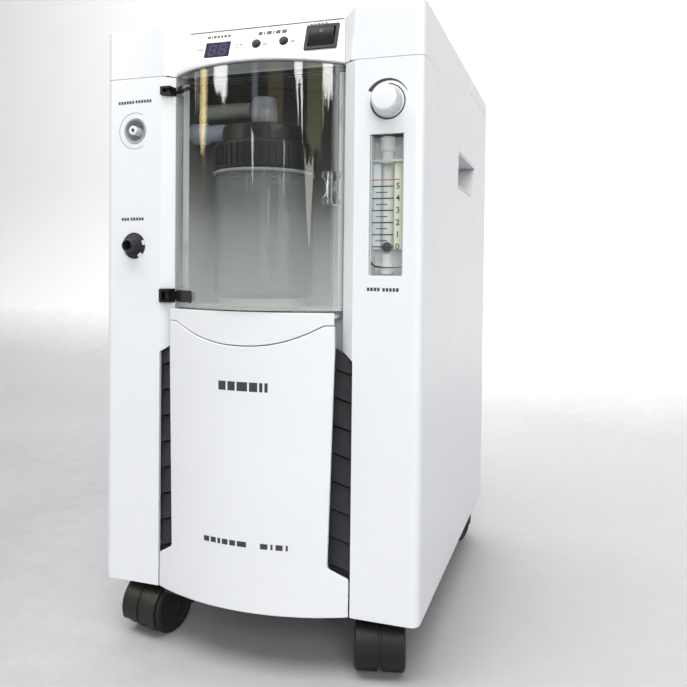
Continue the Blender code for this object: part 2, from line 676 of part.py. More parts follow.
def flowmeter():
    x0, x1 = METER_SIDES[0] + GAP, METER_SIDES[1] - GAP
    low, high = METER_LOW + GAP, METER_HIGH - GAP
    body = add("flowmeter_body", block((x0, -0.1945, low), (x1, -0.1790, high)), CLEAR)
    cut(body, turned([(0, low - 0.01), (0.0047, low - 0.01), (0.0056, high + 0.01), (0, high + 0.01)],
                     20, "Z", (BORE_X, BORE_Y, 0)))
    ball = [(0.0042 * math.sin(math.pi * i / 8), -0.0042 * math.cos(math.pi * i / 8)) for i in range(9)]
    ball[0], ball[-1] = (0, -0.0042), (0, 0.0042)
    add("flow_float", turned(ball, 16), BLACK, location=(BORE_X, BORE_Y, FLOAT_LOW), round_piece=True)
    x, z = KNOB
    rings = []
    for radius, y in ((0.0126, -0.1960), (0.0124, -0.1985), (0.0112, -0.2085), (0.0096, -0.2105)):
        ridge = 0.0003 if y > -0.21 else 0
        teeth = 40
        ring = []
        for i in range(teeth):
            angle = 2 * math.pi * i / teeth
            r = radius + (ridge if i % 2 else -ridge)
            ring.append((r * math.cos(angle), r * math.sin(angle)))
        rings.append((ring, y))
    knob = add("flow_knob", loft(rings, "Y"), WHITE, location=(x, 0, z), round_piece=True)
    join(knob, cylinder(0.0030, -0.2000, -0.1800, "Y", (0, 0, 0), 16))
    valve = [(0.0034, -0.1922), (0.0110, -0.1922), (0.0110, -0.1780), (0.0080, -0.1760), (0.0080, -0.1650),
             (0.0034, -0.1650)]
    add("needle_valve", turned(valve, 16, "Y", (x, 0, z), closed=True), LIGHT_GREY, round_piece=True)


# ---- rear ----
def rear_panel():
    panel = add("rear_panel", block((-0.1397, BACK - WALL, 0.0623), (0.1397, BACK - 0.0002, 0.5437)), WHITE)
    openings = block((-0.060, 0.18, 0.400), (0.060, 0.21, 0.500))
    block((-0.060, 0.18, 0.100), (0.080, 0.21, 0.180), openings)
    block((-0.1139, 0.18, 0.1037), (-0.0861, 0.21, 0.1243), openings)
    cut(panel, openings)
    cut(panel, cylinder(0.0049, 0.18, 0.21, "Y", (-0.100, 0, 0.160), 16))


def louvred(name, x0, z0, x1, z1, slots, finish):
    """A snap-in grille with a flange and slanted slots."""
    outer = rounded(x0 - 0.004, z0 - 0.004, x1 + 0.004, z1 + 0.004, 0.003, 3)
    cover = add(name, prism(outer, BACK + 0.0001, BACK + 0.0030, "Y"), finish)
    join(cover, block((x0 + GAP, BACK - 0.0100, z0 + GAP), (x1 - GAP, BACK + 0.0010, z1 - GAP)))
    cut(cover, block((x0 + 0.003, BACK - 0.0200, z0 + 0.003), (x1 - 0.003, BACK - 0.0010, z1 - 0.003)))
    gaps = bmesh.new()
    pitch = (z1 - z0 - 0.008) / slots
    for i in range(slots):
        z = z0 + 0.004 + pitch * (i + 0.5)
        slant = [(BACK - 0.012, z + 0.004 - pitch * 0.22), (BACK + 0.006, z - 0.004 - pitch * 0.22),
                 (BACK + 0.006, z - 0.004 + pitch * 0.22), (BACK - 0.012, z + 0.004 + pitch * 0.22)]
        prism(slant, x0 + 0.006, x1 - 0.006, "X", gaps)
    cut(cover, gaps)


def rear_fittings():
    louvred("filter_cover", -0.060, 0.400, 0.060, 0.500, 7, CHARCOAL)
    add("intake_filter", block((-0.0565, 0.1730, 0.4035), (0.0565, 0.1850, 0.4965)), FOAM)
    louvred("exhaust_grille", -0.060, 0.100, 0.080, 0.180, 6, CHARCOAL)
    inlet = add("power_inlet", prism(rounded(-0.1158, 0.1017, -0.0842, 0.1263, 0.002, 3),
                                     BACK + 0.0001, BACK + 0.0022, "Y"), BLACK)
    join(inlet, block((-0.1136, 0.1730, 0.1040), (-0.0864, BACK + 0.0010, 0.1240)))
    hollow = [(-0.1120, 0.1056), (-0.0880, 0.1056), (-0.0880, 0.1170), (-0.0925, 0.1222), (-0.1075, 0.1222),
              (-0.1120, 0.1170)]
    cut(inlet, prism(hollow, 0.1760, 0.21, "Y"))
    for x, z in ((-0.1000, 0.1165), (-0.1070, 0.1115), (-0.0930, 0.1115)):
        join(inlet, block((x - 0.0010, 0.1750, z - 0.0020), (x + 0.0010, 0.1920, z + 0.0020)))
    collar = [(0.0037, BACK + 0.0030), (0.0070, BACK + 0.0030), (0.0078, BACK + 0.0020), (0.0078, BACK + 0.0001),
              (0.0046, BACK + 0.0001), (0.0046, 0.1800), (0.0090, 0.1800), (0.0090, 0.1620), (0.0037, 0.1620)]
    add("circuit_breaker", turned(collar, 16, "Y", (-0.100, 0, 0.160), closed=True), BLACK, round_piece=True)
    reset = [(0, -0.0200), (0.0033, -0.0200), (0.0033, 0.0052), (0.0026, 0.0060), (0, 0.0060)]
    add("breaker_button", turned(reset, 14, "Y"), WHITE, location=(-0.100, BACK, 0.160), round_piece=True)


def cord_hook(side):
    outline = [(0.112, BACK + GAP), (0.138, BACK + GAP), (0.138, BACK + 0.0036), (0.1285, BACK + 0.0042),
               (0.1275, REACH - 0.0060), (0.1460, REACH - 0.0046), (0.1470, REACH - 0.0014), (0.1450, REACH),
               (0.1240, REACH), (0.1215, REACH - 0.0020), (0.1205, BACK + 0.0042), (0.112, BACK + 0.0036)]
    shape = prism(outline, 0.301, 0.323)
    if side < 0:
        mirrored(shape)
    add("cord_hook_left" if side < 0 else "cord_hook_right", shape, BLACK)


# ---- internals ----
def compressor():
    y = -0.020
    pump = add("compressor", cylinder(0.046, -0.055, 0.055, "X", (0, y, 0.1400), 18), ALUMINIUM, round_piece=True)
    join(pump, block((-0.050, y - 0.040, 0.0740), (0.050, y + 0.040, 0.110)))
    for x in (-0.040, 0.040):
        for dy in (-0.030, 0.030):
            join(pump, cylinder(0.0080, 0.0588, 0.0760, "Z", (x, y + dy, 0), 10))
    for x in (-0.064, 0.064):
        join(pump, block((x - 0.024, y - 0.024, 0.115), (x + 0.024, y + 0.024, 0.175)))
        join(pump, cylinder(0.022, 0.170, 0.205, "Z", (x, y, 0), 14))


def cooling_fan():
    y, low, high = -0.020, 0.2400, 0.2650
    housing = add("fan_housing", prism(rounded(-0.050, y - 0.050, 0.050, y + 0.050, 0.004, 3), low, high), BLACK)
    cut(housing, cylinder(0.0465, low - 0.01, high - 0.004, "Z", (0, y, 0), 20))
    openings = bmesh.new()
    for i in range(4):
        start = 90 * i + 8
        sector = arc((0, y), 0.0440, start, start + 74, 6) + arc((0, y), 0.0180, start + 74, start, 3)
        prism(sector, high - 0.010, high + 0.010, "Z", openings)
    cut(housing, openings)
    blades, hub, tip = 7, 0.0170, 0.0440
    rings = []
    for level, turn in ((low + 0.003, 0), (high - 0.0055, 22)):
        ring = []
        for i in range(blades):
            start = 360 * i / blades + turn
            ring += arc((0, 0), tip, start, start + 12, 2)
            ring += arc((0, 0), hub, start + 18, start + 360 / blades - 4, 2)
        rings.append((ring, level))
    rings = [(ring, level - low) for ring, level in rings]
    add("fan_rotor", loft(rings), BLACK, location=(0, y, low))


def gas_parts():
    bed = [(0, 0), (0.0330, 0), (0.0330, 0.012), (0.0310, 0.014), (0.0310, 0.276), (0.0330, 0.278), (0.0330, 0.290),
           (0.010, 0.290), (0.008, 0.300), (0, 0.300)]
    for name, x in (("left", -0.078), ("right", 0.078)):
        add(f"sieve_bed_{name}", turned(bed, 16), ALUMINIUM, location=(x, 0.110, 0.0600), round_piece=True)
    valves = add("valve_block", block((-0.060, 0.085, 0.3650), (0.060, 0.135, 0.3950)), ALUMINIUM)
    for x in (-0.035, 0.035):
        join(valves, cylinder(0.0140, 0.390, 0.4250, "Z", (x, 0.110, 0), 12))
    board = add("control_board", block((-0.070, -0.1320, 0.5240), (0.070, -0.1304, 0.5600)), BOARD)
    for x, width in ((-0.050, 0.010), (-0.020, 0.014), (0.015, 0.008), (0.045, 0.012)):
        join(board, block((x - width, -0.1310, 0.5330), (x + width, -0.1240, 0.5520)))


# ---- casters ----
def caster(name, yaw):
    side = -1 if "left" in name else 1
    end = -1 if "front" in name else 1
    pivot = empty(f"caster_pivot_{name}", (side * STEM_X, end * STEM_Y, 0), (0, 0, math.radians(yaw)))
    axle = (-TRAIL, WHEEL_RADIUS)
    half, inner, outer = 0.0205, WHEEL_RADIUS + 0.0012, WHEEL_RADIUS + 0.0036
    cowl = arc(axle, outer, 202, -14, 11) + arc(axle, inner, -14, 202, 11)
    hood = add(f"caster_hood_{name}", prism(cowl, -half, half, "X"), BLACK, pivot, round_piece=True)
    join(hood, cylinder(0.0110, 0.0380, 0.0525, "Z", (0, 0, 0), 12))
    cut(hood, cylinder(inner, -0.030, 0.030, "X", (0, *axle), 24))
    web = arc(axle, inner + 0.0008, 200, -12, 8) + arc(axle, 0.0070, -60, -120, 2)
    join(hood, prism(web, -0.0020, 0.0020, "X"))
    join(hood, cylinder(0.0050, 0.0500, 0.0720, "Z", (0, 0, 0), 10))
    cut(hood, cylinder(0.0036, -0.01, 0.01, "X", (0, *axle), 10))
    r = WHEEL_RADIUS
    wheel = [(0, -0.0224), (r - 0.0030, -0.0218), (r, -0.0200), (r, -0.0026), (0.0032, -0.0026)]
    wheel += [(radius, -level) for radius, level in reversed(wheel)]
    add(f"caster_wheels_{name}", turned(wheel, 22, "X"), BLACK, pivot, (0, *axle), round_piece=True)


def build():
    base_plate()
    front_frame()
    cabinet_shell()
    rear_top_cover()
    control_panel()
    display_module()
    for name, place in BUTTONS.items():
        timer_button(name, place)
    power_switch()
    chamber_liner()
    chamber_door()
    for name, (low, high) in HINGES.items():
        hinge(name, low, high)
    door_latch()
    humidifier()
    inlet_tube()
    lower_panel()
    door_sill()
    for side in (-1, 1):
        vent_grille(side)
        handle_pocket(side)
        cord_hook(side)
    oxygen_outlet()
    nebuliser_outlet()
    flowmeter()
    rear_panel()
    rear_fittings()
    compressor()
    cooling_fan()
    gas_parts()
    for name, yaw in CASTER_YAW.items():
        caster(name, yaw)


build()
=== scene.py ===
"""The look of the oxygen concentrator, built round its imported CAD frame.

Metres, +Z up, the front faces -Y. Shapes that show are built again here with finer
curves, rounded edges and procedural materials, each riding on its CAD body.
"""

import json
import math

import bmesh
import bpy
from mathutils import Matrix, Vector

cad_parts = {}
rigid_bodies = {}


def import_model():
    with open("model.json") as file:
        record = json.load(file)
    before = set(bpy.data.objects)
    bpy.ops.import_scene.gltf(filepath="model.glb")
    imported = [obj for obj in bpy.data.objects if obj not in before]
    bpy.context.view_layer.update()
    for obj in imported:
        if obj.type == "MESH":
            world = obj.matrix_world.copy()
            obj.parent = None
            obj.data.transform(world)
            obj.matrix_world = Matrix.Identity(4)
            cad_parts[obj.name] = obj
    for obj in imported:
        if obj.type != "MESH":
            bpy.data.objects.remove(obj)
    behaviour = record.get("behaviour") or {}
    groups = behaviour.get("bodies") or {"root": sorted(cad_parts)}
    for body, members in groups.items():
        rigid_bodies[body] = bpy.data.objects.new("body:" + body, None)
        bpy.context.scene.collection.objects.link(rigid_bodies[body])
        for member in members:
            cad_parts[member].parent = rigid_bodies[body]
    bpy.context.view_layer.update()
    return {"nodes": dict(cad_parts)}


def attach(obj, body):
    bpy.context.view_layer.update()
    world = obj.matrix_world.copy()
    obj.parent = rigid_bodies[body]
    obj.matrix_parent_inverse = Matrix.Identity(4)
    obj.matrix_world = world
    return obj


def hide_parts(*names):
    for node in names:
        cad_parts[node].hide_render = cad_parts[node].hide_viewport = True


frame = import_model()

# ---- driving dimensions, the same as the CAD part's ----
WIDTH = 0.303
DEPTH = 0.3912
BODY_HEIGHT = 0.511
BOTTOM = 0.055
CORNER = 0.008
WALL = 0.003
GAP = 0.0003
REACH = 0.219

HALF = WIDTH / 2
FRONT = -DEPTH / 2
BACK = DEPTH / 2
TOP = BOTTOM + BODY_HEIGHT
SEAM = BOTTOM + 0.467
WRAP = -0.138

COLUMN_EDGE = 0.0923
BAY_HALF = 0.0815
BAY_FRONT = -0.188
BULKHEAD = -0.172

PANEL_LEAN = math.radians(20)
PANEL_Y = -0.1889
PANEL_TOP_HALF = 0.07525
PANEL_LENGTH = (TOP - SEAM) / math.cos(PANEL_LEAN)
PANEL_THICK = 0.003

DOOR_CENTRE = -0.095
DOOR_RADIUS = 0.1240
DOOR_THICK = 0.0025
DOOR_LOW = 0.3128
DOOR_HIGH = 0.5205
HINGE_AXIS = (-0.0860, -0.1935)
HINGES = {"upper": (0.5050, 0.5123), "lower": (0.3167, 0.3286)}

APRON_CENTRE = -0.0048
APRON_RADIUS = 0.2115
APRON_THICK = 0.003
LEDGE = 0.3115
VENT_LOW = BOTTOM + 0.0305
VENT_HIGH = BOTTOM + 0.2163
VENT_PEAK = BOTTOM + 0.2257

JAR = (-0.0039, -0.163)
JAR_RADIUS = 0.0450
CAP_RADIUS = 0.0468
JAR_LOW = 0.3221
CAP_LOW = 0.4360
CAP_HIGH = 0.4600
NECK_HIGH = 0.4754
SPOUT_HEIGHT = 0.4740
INLET_HEIGHT = 0.4940

OXYGEN_PORT = (-0.11985, 0.4738)
NEBULISER_PORT = (-0.12055, 0.3680)
KNOB = (0.12075, 0.4860)
METER_LOW = 0.3435
METER_HIGH = 0.4597
METER_SIDES = (0.1057, 0.1345)
FLOAT_LOW = 0.3672
FULL_FLOW = 0.4168
RED_LINE = 0.4221
BORE_X = 0.1191
BORE_Y = -0.1868

DISPLAY = (-0.0439, 0.0258)
SWITCH = (0.0567, 0.0285)
ROCKER_DEPTH = 0.0030
BUTTONS = {"minus": (-0.0054, 0.0281), "plus": (0.0210, 0.0284)}

HANDLE = [(-0.029, 0.4335), (0.064, 0.4335), (0.092, 0.4715), (-0.027, 0.4715)]
LID_FRONT = 0.0590
LID_LOW = 0.5497

STEM_X = 0.108
STEM_Y = 0.150
TRAIL = 0.015
WHEEL_RADIUS = 0.024
CASTER_YAW = {"front_left": -13, "front_right": 14, "rear_left": -8, "rear_right": 163}


# ---- camera ----
def make_camera():
    yaw, pitch, roll = math.radians(18.271), math.radians(1.201), math.radians(0.641)
    ahead = Vector((-math.sin(yaw) * math.cos(pitch), math.cos(yaw) * math.cos(pitch), -math.sin(pitch)))
    right = Vector((math.cos(yaw), math.sin(yaw), 0))
    up = right.cross(ahead)
    right, up = math.cos(roll) * right + math.sin(roll) * up, math.cos(roll) * up - math.sin(roll) * right
    lens = bpy.data.cameras.new("camera")
    lens.lens = 37.55
    lens.shift_y = -0.0843
    lens.clip_start = 0.01
    camera = bpy.data.objects.new("camera", lens)
    bpy.context.scene.collection.objects.link(camera)
    turn = Matrix((right, up, -ahead)).transposed().to_4x4()
    camera.matrix_world = Matrix.Translation((0.2722, -0.7649, 0.3473)) @ turn
    bpy.context.scene.camera = camera


make_camera()


# ---- materials ----
class Look:
    """A material under construction: its node tree and its Principled shader."""

    def __init__(self, name, roughness, metallic=0.0):
        self.material = bpy.data.materials.new(name)
        self.material.use_nodes = True
        self.tree = self.material.node_tree
        self.shader = self.tree.nodes["Principled BSDF"]
        self.shader.inputs["Roughness"].default_value = roughness
        self.shader.inputs["Metallic"].default_value = metallic
        self.place = self.tree.nodes.new("ShaderNodeTexCoord").outputs["Object"]

    def node(self, kind, **values):
        made = self.tree.nodes.new(kind)
        for key, value in values.items():
            setattr(made, key, value)
        return made

    def link(self, source, target):
        self.tree.links.new(source, target)

    def stretched(self, scale):
        mapping = self.node("ShaderNodeMapping")
        mapping.inputs["Scale"].default_value = scale
        self.link(self.place, mapping.inputs["Vector"])
        return mapping.outputs["Vector"]

    def noise(self, scale, detail=3.0, roughness=0.5, stretch=None):
        made = self.node("ShaderNodeTexNoise")
        made.inputs["Scale"].default_value = scale
        made.inputs["Detail"].default_value = detail
        made.inputs["Roughness"].default_value = roughness
        self.link(self.stretched(stretch) if stretch else self.place, made.inputs["Vector"])
        return made.outputs["Fac"]

    def ramp(self, source, stops):
        made = self.node("ShaderNodeValToRGB")
        ramp = made.color_ramp
        while len(ramp.elements) < len(stops):
            ramp.elements.new(0.5)
        for element, (position, colour) in zip(ramp.elements, stops):
            element.position = position
            element.color = (*colour, 1.0)
        self.link(source, made.inputs["Fac"])
        return made.outputs["Color"]

    def between(self, source, low, high, start=0.3, end=0.7):
        made = self.node("ShaderNodeMapRange")
        for key, value in (("From Min", start), ("From Max", end), ("To Min", low), ("To Max", high)):
            made.inputs[key].default_value = value
        self.link(source, made.inputs["Value"])
        return made.outputs["Result"]

    def colour(self, source, low, high, start=0.35, end=0.65):
        self.link(self.ramp(source, [(start, low), (end, high)]), self.shader.inputs["Base Color"])

    def rough(self, source, low, high):
        self.link(self.between(source, low, high), self.shader.inputs["Roughness"])

    def bump(self, source, distance, strength=1.0):
        made = self.node("ShaderNodeBump")
        made.inputs["Strength"].default_value = strength
        made.inputs["Distance"].default_value = distance
        self.link(source, made.inputs["Height"])
        self.link(made.outputs["Normal"], self.shader.inputs["Normal"])


def shade(colour, factor):
    return tuple(min(1.0, c * factor) for c in colour)


def moulded(name, colour, roughness, spread=0.03, grain=1400, depth=0.00002, cloud=9, mottle=0.06, shine=0.5):
    """Injection-moulded plastic: a fine spark-eroded grain, faint clouding and uneven gloss."""
    look = Look(name, roughness)
    look.shader.inputs["Specular IOR Level"].default_value = shine
    look.colour(look.noise(cloud, 4.0), shade(colour, 1 - spread), shade(colour, 1 + spread))
    look.rough(look.noise(cloud * 7, 3.0), roughness - mottle, roughness + mottle)
    look.bump(look.noise(grain, 2.0), depth)
    return look.material


def bare_metal(name, colour, roughness, stretch, depth):
    look = Look(name, roughness, metallic=1.0)
    look.colour(look.noise(60, 3.0, stretch=stretch), shade(colour, 0.85), shade(colour, 1.08))
    look.rough(look.noise(25, 3.0), roughness - 0.08, roughness + 0.12)
    look.bump(look.noise(220, 3.0, stretch=stretch), depth)
    return look.material


def thin_clear(name, tint, ior, smudge=0.05, haze=(0.8, 0.82, 0.84), haze_share=0.03, painted_reflection_below=None):
    """A clear moulding with thin walls: it lets light straight through, and its faces mirror at a slant.

    A painted reflection of the pale floor can be added as haze that grows towards the foot: (share at the foot, its
    height, the height where it ends)."""
    look = Look(name, 0.03)
    tree = look.tree
    tree.nodes.remove(look.shader)
    clear = look.node("ShaderNodeBsdfTransparent")
    clear.inputs["Color"].default_value = (*tint, 1.0)
    mirror = look.node("ShaderNodeBsdfGlossy")
    look.link(look.between(look.noise(18, 4.0, stretch=(1.0, 1.0, 0.35)), 0.015, smudge), mirror.inputs["Roughness"])
    wave = look.node("ShaderNodeBump")
    wave.inputs["Strength"].default_value = 1.0
    wave.inputs["Distance"].default_value = 0.0006
    look.link(look.noise(26, 2.0, stretch=(1.0, 1.0, 0.12)), wave.inputs["Height"])
    look.link(wave.outputs["Normal"], mirror.inputs["Normal"])
    slant = look.node("ShaderNodeLayerWeight")
    slant.inputs["Blend"].default_value = 0.5
    steep = look.node("ShaderNodeMath", operation="POWER")
    look.link(slant.outputs["Facing"], steep.inputs[0])
    steep.inputs[1].default_value = 5.0
    glass = look.node("ShaderNodeMixShader")
    look.link(look.between(steep.outputs["Value"], ((ior - 1) / (ior + 1)) ** 2, 1.0, 0.0, 1.0), glass.inputs["Fac"])
    look.link(clear.outputs["BSDF"], glass.inputs[1])
    look.link(mirror.outputs["BSDF"], glass.inputs[2])
    haze_and_painted_reflection = look.node("ShaderNodeBsdfDiffuse")
    haze_and_painted_reflection.inputs["Color"].default_value = (*haze, 1.0)
    film = look.node("ShaderNodeMixShader")
    share = look.between(look.noise(7, 4.0, stretch=(1.0, 1.0, 0.5)), haze_share * 0.5, haze_share * 1.5)
    # Painted reflection: the diffuse haze share rises towards the foot, standing in for the pale floor mirrored in the
    # lower door.
    if painted_reflection_below:
        split = look.node("ShaderNodeSeparateXYZ")
        look.link(look.place, split.inputs["Vector"])
        rise = look.between(split.outputs["Z"], painted_reflection_below[0], 0.0, painted_reflection_below[1], painted_reflection_below[2])
        streaks = look.between(look.noise(30, 3.0, stretch=(1.0, 1.0, 0.03)), 0.88, 1.12)
        uneven = look.node("ShaderNodeMath", operation="MULTIPLY_ADD")
        look.link(rise, uneven.inputs[0])
        look.link(streaks, uneven.inputs[1])
        look.link(share, uneven.inputs[2])
        share = uneven.outputs["Value"]
    look.link(share, film.inputs["Fac"])
    look.link(glass.outputs["Shader"], film.inputs[1])
    look.link(haze_and_painted_reflection.outputs["BSDF"], film.inputs[2])
    look.link(film.outputs["Shader"], tree.nodes["Material Output"].inputs["Surface"])
    return look.material


def solid_clear(name, tint, roughness, ior=1.49):
    """A thick clear moulding, which bends what is seen through it."""
    look = Look(name, roughness)
    look.shader.inputs["Transmission Weight"].default_value = 1.0
    look.shader.inputs["IOR"].default_value = ior
    look.colour(look.noise(30, 3.0), shade(tint, 0.97), tint)
    look.rough(look.noise(40, 3.0), roughness, roughness + 0.05)
    look.bump(look.noise(60, 2.0), 0.00008)
    return look.material


def liner_plastic():
    """Grey plastic, pale at the foot of the bay; its darkening towards the roof is painted shade."""
    look = Look("liner_plastic", 0.5)
    split = look.node("ShaderNodeSeparateXYZ")
    look.link(look.place, split.inputs["Vector"])
    height = look.between(split.outputs["Z"], 0.0, 1.0, LEDGE, SEAM)
    cloud = look.between(look.noise(12, 3.0), -0.03, 0.03)
    level = look.node("ShaderNodeMath", operation="ADD")
    look.link(height, level.inputs[0])
    look.link(cloud, level.inputs[1])
    # Painted shade: the colour runs from pale at the ledge to near black at the roof, for the shade inside the bay.
    painted_shade_tone = look.ramp(level.outputs["Value"], [(0.0, (0.66, 0.68, 0.66)), (0.30, (0.58, 0.60, 0.58)),
                                              (0.62, (0.16, 0.165, 0.16)), (0.90, (0.055, 0.055, 0.050)),
                                              (0.97, (0.016, 0.016, 0.015))])
    look.link(painted_shade_tone, look.shader.inputs["Base Color"])
    look.rough(look.noise(50, 3.0), 0.42, 0.58)
    look.bump(look.noise(1200, 2.0), 0.000008)
    return look.material


def foam():
    look = Look("filter_foam", 0.95)
    cells = look.node("ShaderNodeTexVoronoi")
    cells.inputs["Scale"].default_value = 700
    look.link(look.place, cells.inputs["Vector"])
    look.colour(cells.outputs["Distance"], (0.012, 0.012, 0.013), (0.09, 0.09, 0.095), 0.1, 0.6)
    look.bump(cells.outputs["Distance"], 0.0006)
    return look.material


def circuit():
    look = Look("circuit_board", 0.4)
    tracks = look.node("ShaderNodeTexBrick")
    tracks.inputs["Scale"].default_value = 180
    tracks.inputs["Color1"].default_value = (0.015, 0.14, 0.06, 1.0)
    tracks.inputs["Color2"].default_value = (0.02, 0.18, 0.08, 1.0)
    tracks.inputs["Mortar"].default_value = (0.05, 0.30, 0.12, 1.0)
    tracks.inputs["Mortar Size"].default_value = 0.03
    look.link(look.place, tracks.inputs["Vector"])
    look.link(tracks.outputs["Color"], look.shader.inputs["Base Color"])
    look.rough(look.noise(80), 0.3, 0.5)
    look.bump(tracks.outputs["Fac"], 0.00005)
    return look.material


def scale_card():
    """The printed backing of the flowmeter: pale grey on the left, yellow-green on the right."""
    look = Look("scale_card", 0.55)
    split = look.node("ShaderNodeSeparateXYZ")
    look.link(look.place, split.inputs["Vector"])
    across = look.between(split.outputs["X"], 0.0, 1.0, METER_SIDES[0] + 0.004, METER_SIDES[1] - 0.003)
    base = look.ramp(across, [(0.0, (0.66, 0.72, 0.76)), (0.30, (0.74, 0.78, 0.78)), (0.42, (0.78, 0.81, 0.76)),
                              (0.72, (0.84, 0.88, 0.66)), (1.0, (0.70, 0.73, 0.56))])
    look.link(base, look.shader.inputs["Base Color"])
    look.rough(look.noise(90), 0.45, 0.6)
    look.bump(look.noise(2200, 2.0), 0.00001)
    return look.material


WHITE = moulded("white_abs", (0.80, 0.815, 0.835), 0.34, spread=0.012)
LABEL_WHITE = moulded("label_film", (0.82, 0.83, 0.84), 0.22, spread=0.01, grain=3000, depth=0.000005)
LIGHT_GREY = moulded("light_grey_plastic", (0.36, 0.375, 0.39), 0.42)
NUT_GREY = moulded("translucent_grey", (0.36, 0.38, 0.43), 0.35)
TUBE_GREY = moulded("tube_grey", (0.30, 0.295, 0.27), 0.4)
# The jar's shoulder lip; its light grey is partly a painted highlight along the lip.
LIP_GREY_PAINTED_HIGHLIGHT = moulded("bottle_lip_painted_highlight", (0.42, 0.43, 0.46), 0.3)
LINER_PAINTED_SHADE = liner_plastic()
CHARCOAL = moulded("charcoal_plastic", (0.024, 0.026, 0.030), 0.5, spread=0.12, grain=1000, depth=0.00005, shine=0.3)
BLACK = moulded("black_plastic", (0.010, 0.010, 0.011), 0.36, spread=0.15, shine=0.22)
CASTER_BLACK = moulded("caster_nylon", (0.0085, 0.0090, 0.0080), 0.42, spread=0.25, grain=700, depth=0.00008, cloud=30,
                       shine=0.3)
TYRE_BLACK = moulded("caster_tread", (0.0105, 0.0105, 0.0105), 0.55, spread=0.35, grain=500, depth=0.00012, cloud=60,
                     shine=0.3)
RIM_GREY = moulded("brow_rim", (0.20, 0.21, 0.22), 0.35)
INK = moulded("printing_ink", (0.035, 0.036, 0.04), 0.45, spread=0.1, grain=3000, depth=0.000004)
RED_INK = moulded("red_ink", (0.45, 0.05, 0.035), 0.45, grain=3000, depth=0.000004)
SEGMENT = moulded("display_segment", (0.070, 0.068, 0.125), 0.3, shine=0.1)
GLASS_BLACK = moulded("display_window", (0.018, 0.017, 0.046), 0.12, mottle=0.03, depth=0.000004, shine=0.06)
GREY_INK = moulded("grey_ink", (0.33, 0.33, 0.34), 0.4)
SWITCH_INK = moulded("switch_mark", (0.15, 0.15, 0.155), 0.4)
# The handle pockets are the cabinet's white plastic, coloured darker grey: painted shade inside the recess.
POCKET_PAINTED_SHADE = moulded("pocket_abs_painted_shade", (0.64, 0.65, 0.66), 0.4, spread=0.02)
METER_BACK = moulded("meter_housing", (0.70, 0.72, 0.72), 0.4, spread=0.05)
# The door's haze grows towards its foot as a painted reflection of the pale floor.
DOOR_CLEAR = thin_clear("door_clear", (0.90, 0.91, 0.90), 1.55, haze=(0.78, 0.80, 0.79), haze_share=0.008,
                        painted_reflection_below=(0.185, 0.322, 0.405))
JAR_CLEAR = thin_clear("jar_clear", (0.92, 0.94, 0.94), 1.45, haze=(0.66, 0.69, 0.68), haze_share=0.15)
METER_CLEAR = thin_clear("meter_clear", (0.98, 0.985, 0.985), 1.22, haze_share=0.03)
METER_GLASS = thin_clear("meter_glass", (0.97, 0.98, 0.97), 1.2, haze=(0.86, 0.90, 0.84), haze_share=0.05)
METER_FITTING = thin_clear("meter_fitting", (0.86, 0.87, 0.86), 1.4, haze=(0.88, 0.89, 0.88), haze_share=0.60)
THICK_CLEAR = solid_clear("thick_clear", (0.94, 0.96, 0.97), 0.03)
SPOUT_CLEAR = thin_clear("spout_clear", (0.62, 0.68, 0.78), 1.5, haze=(0.62, 0.68, 0.80), haze_share=0.55)
CARD = scale_card()
CAST = bare_metal("cast_aluminium", (0.62, 0.63, 0.64), 0.45, (1.0, 1.0, 1.0), 0.0003)
DRAWN = bare_metal("drawn_aluminium", (0.72, 0.73, 0.74), 0.32, (1.0, 1.0, 0.08), 0.00006)
BOARD = circuit()
FOAM = foam()


# ---- outlines ----
def arc(centre, radius, start, end, steps):
    """Points on a circle from start to end degrees."""
    found = []
    for i in range(steps + 1):
        angle = math.radians(start + (end - start) * i / steps)
        found.append((centre[0] + radius * math.cos(angle), centre[1] + radius * math.sin(angle)))
    return found


def rectangle(x0, y0, x1, y1):
    return [(x0, y0), (x1, y0), (x1, y1), (x0, y1)]


def rounded(x0, y0, x1, y1, radius, steps=10):
    corners = [(x1 - radius, y0 + radius, -90), (x1 - radius, y1 - radius, 0)]
    corners += [(x0 + radius, y1 - radius, 90), (x0 + radius, y0 + radius, 180)]
    found = []
    for x, y, start in corners:
        found += arc((x, y), radius, start, start + 90, steps)
    return found


def beside(path, distance):
    """An open path moved to its left by a distance, with mitred corners."""
    found = []
    for i, point in enumerate(path):
        here = Vector(point)
        before = (here - Vector(path[i - 1])).normalized() if i else None
        after = (Vector(path[i + 1]) - here).normalized() if i < len(path) - 1 else before
        before = before or after
        left = (before.orthogonal() + after.orthogonal()).normalized()
        found.append(tuple(here + left * distance / left.dot(after.orthogonal())))
    return found


def bowed(centre_y, radius, half, steps=48):
    """Points on an arc that bulges to -Y, from -half to +half in x."""
    reach = math.degrees(math.asin(half / radius))
    return arc((0, centre_y), radius, -90 - reach, -90 + reach, steps)


def bow_y(centre_y, radius, x):
    return centre_y - math.sqrt(radius * radius - x * x)


def bow_band(centre_y, outer, inner, x0, x1, steps=8):
    """A slice of a bowed sheet between two x values, as an outline."""
    xs = [x0 + (x1 - x0) * i / steps for i in range(steps + 1)]
    front = [(x, bow_y(centre_y, outer, x)) for x in xs]
    return front + [(x, bow_y(centre_y, inner, x)) for x in reversed(xs)]


# ---- solids ----
def to_axis(axis, u, v, along):
    return {"X": (along, u, v), "Y": (u, along, v), "Z": (u, v, along)}[axis]


def prism(outline, low, high, axis="Z", shape=None):
    """Extrudes a flat outline between two levels of one axis."""
    return loft([(outline, low), (outline, high)], axis, shape)


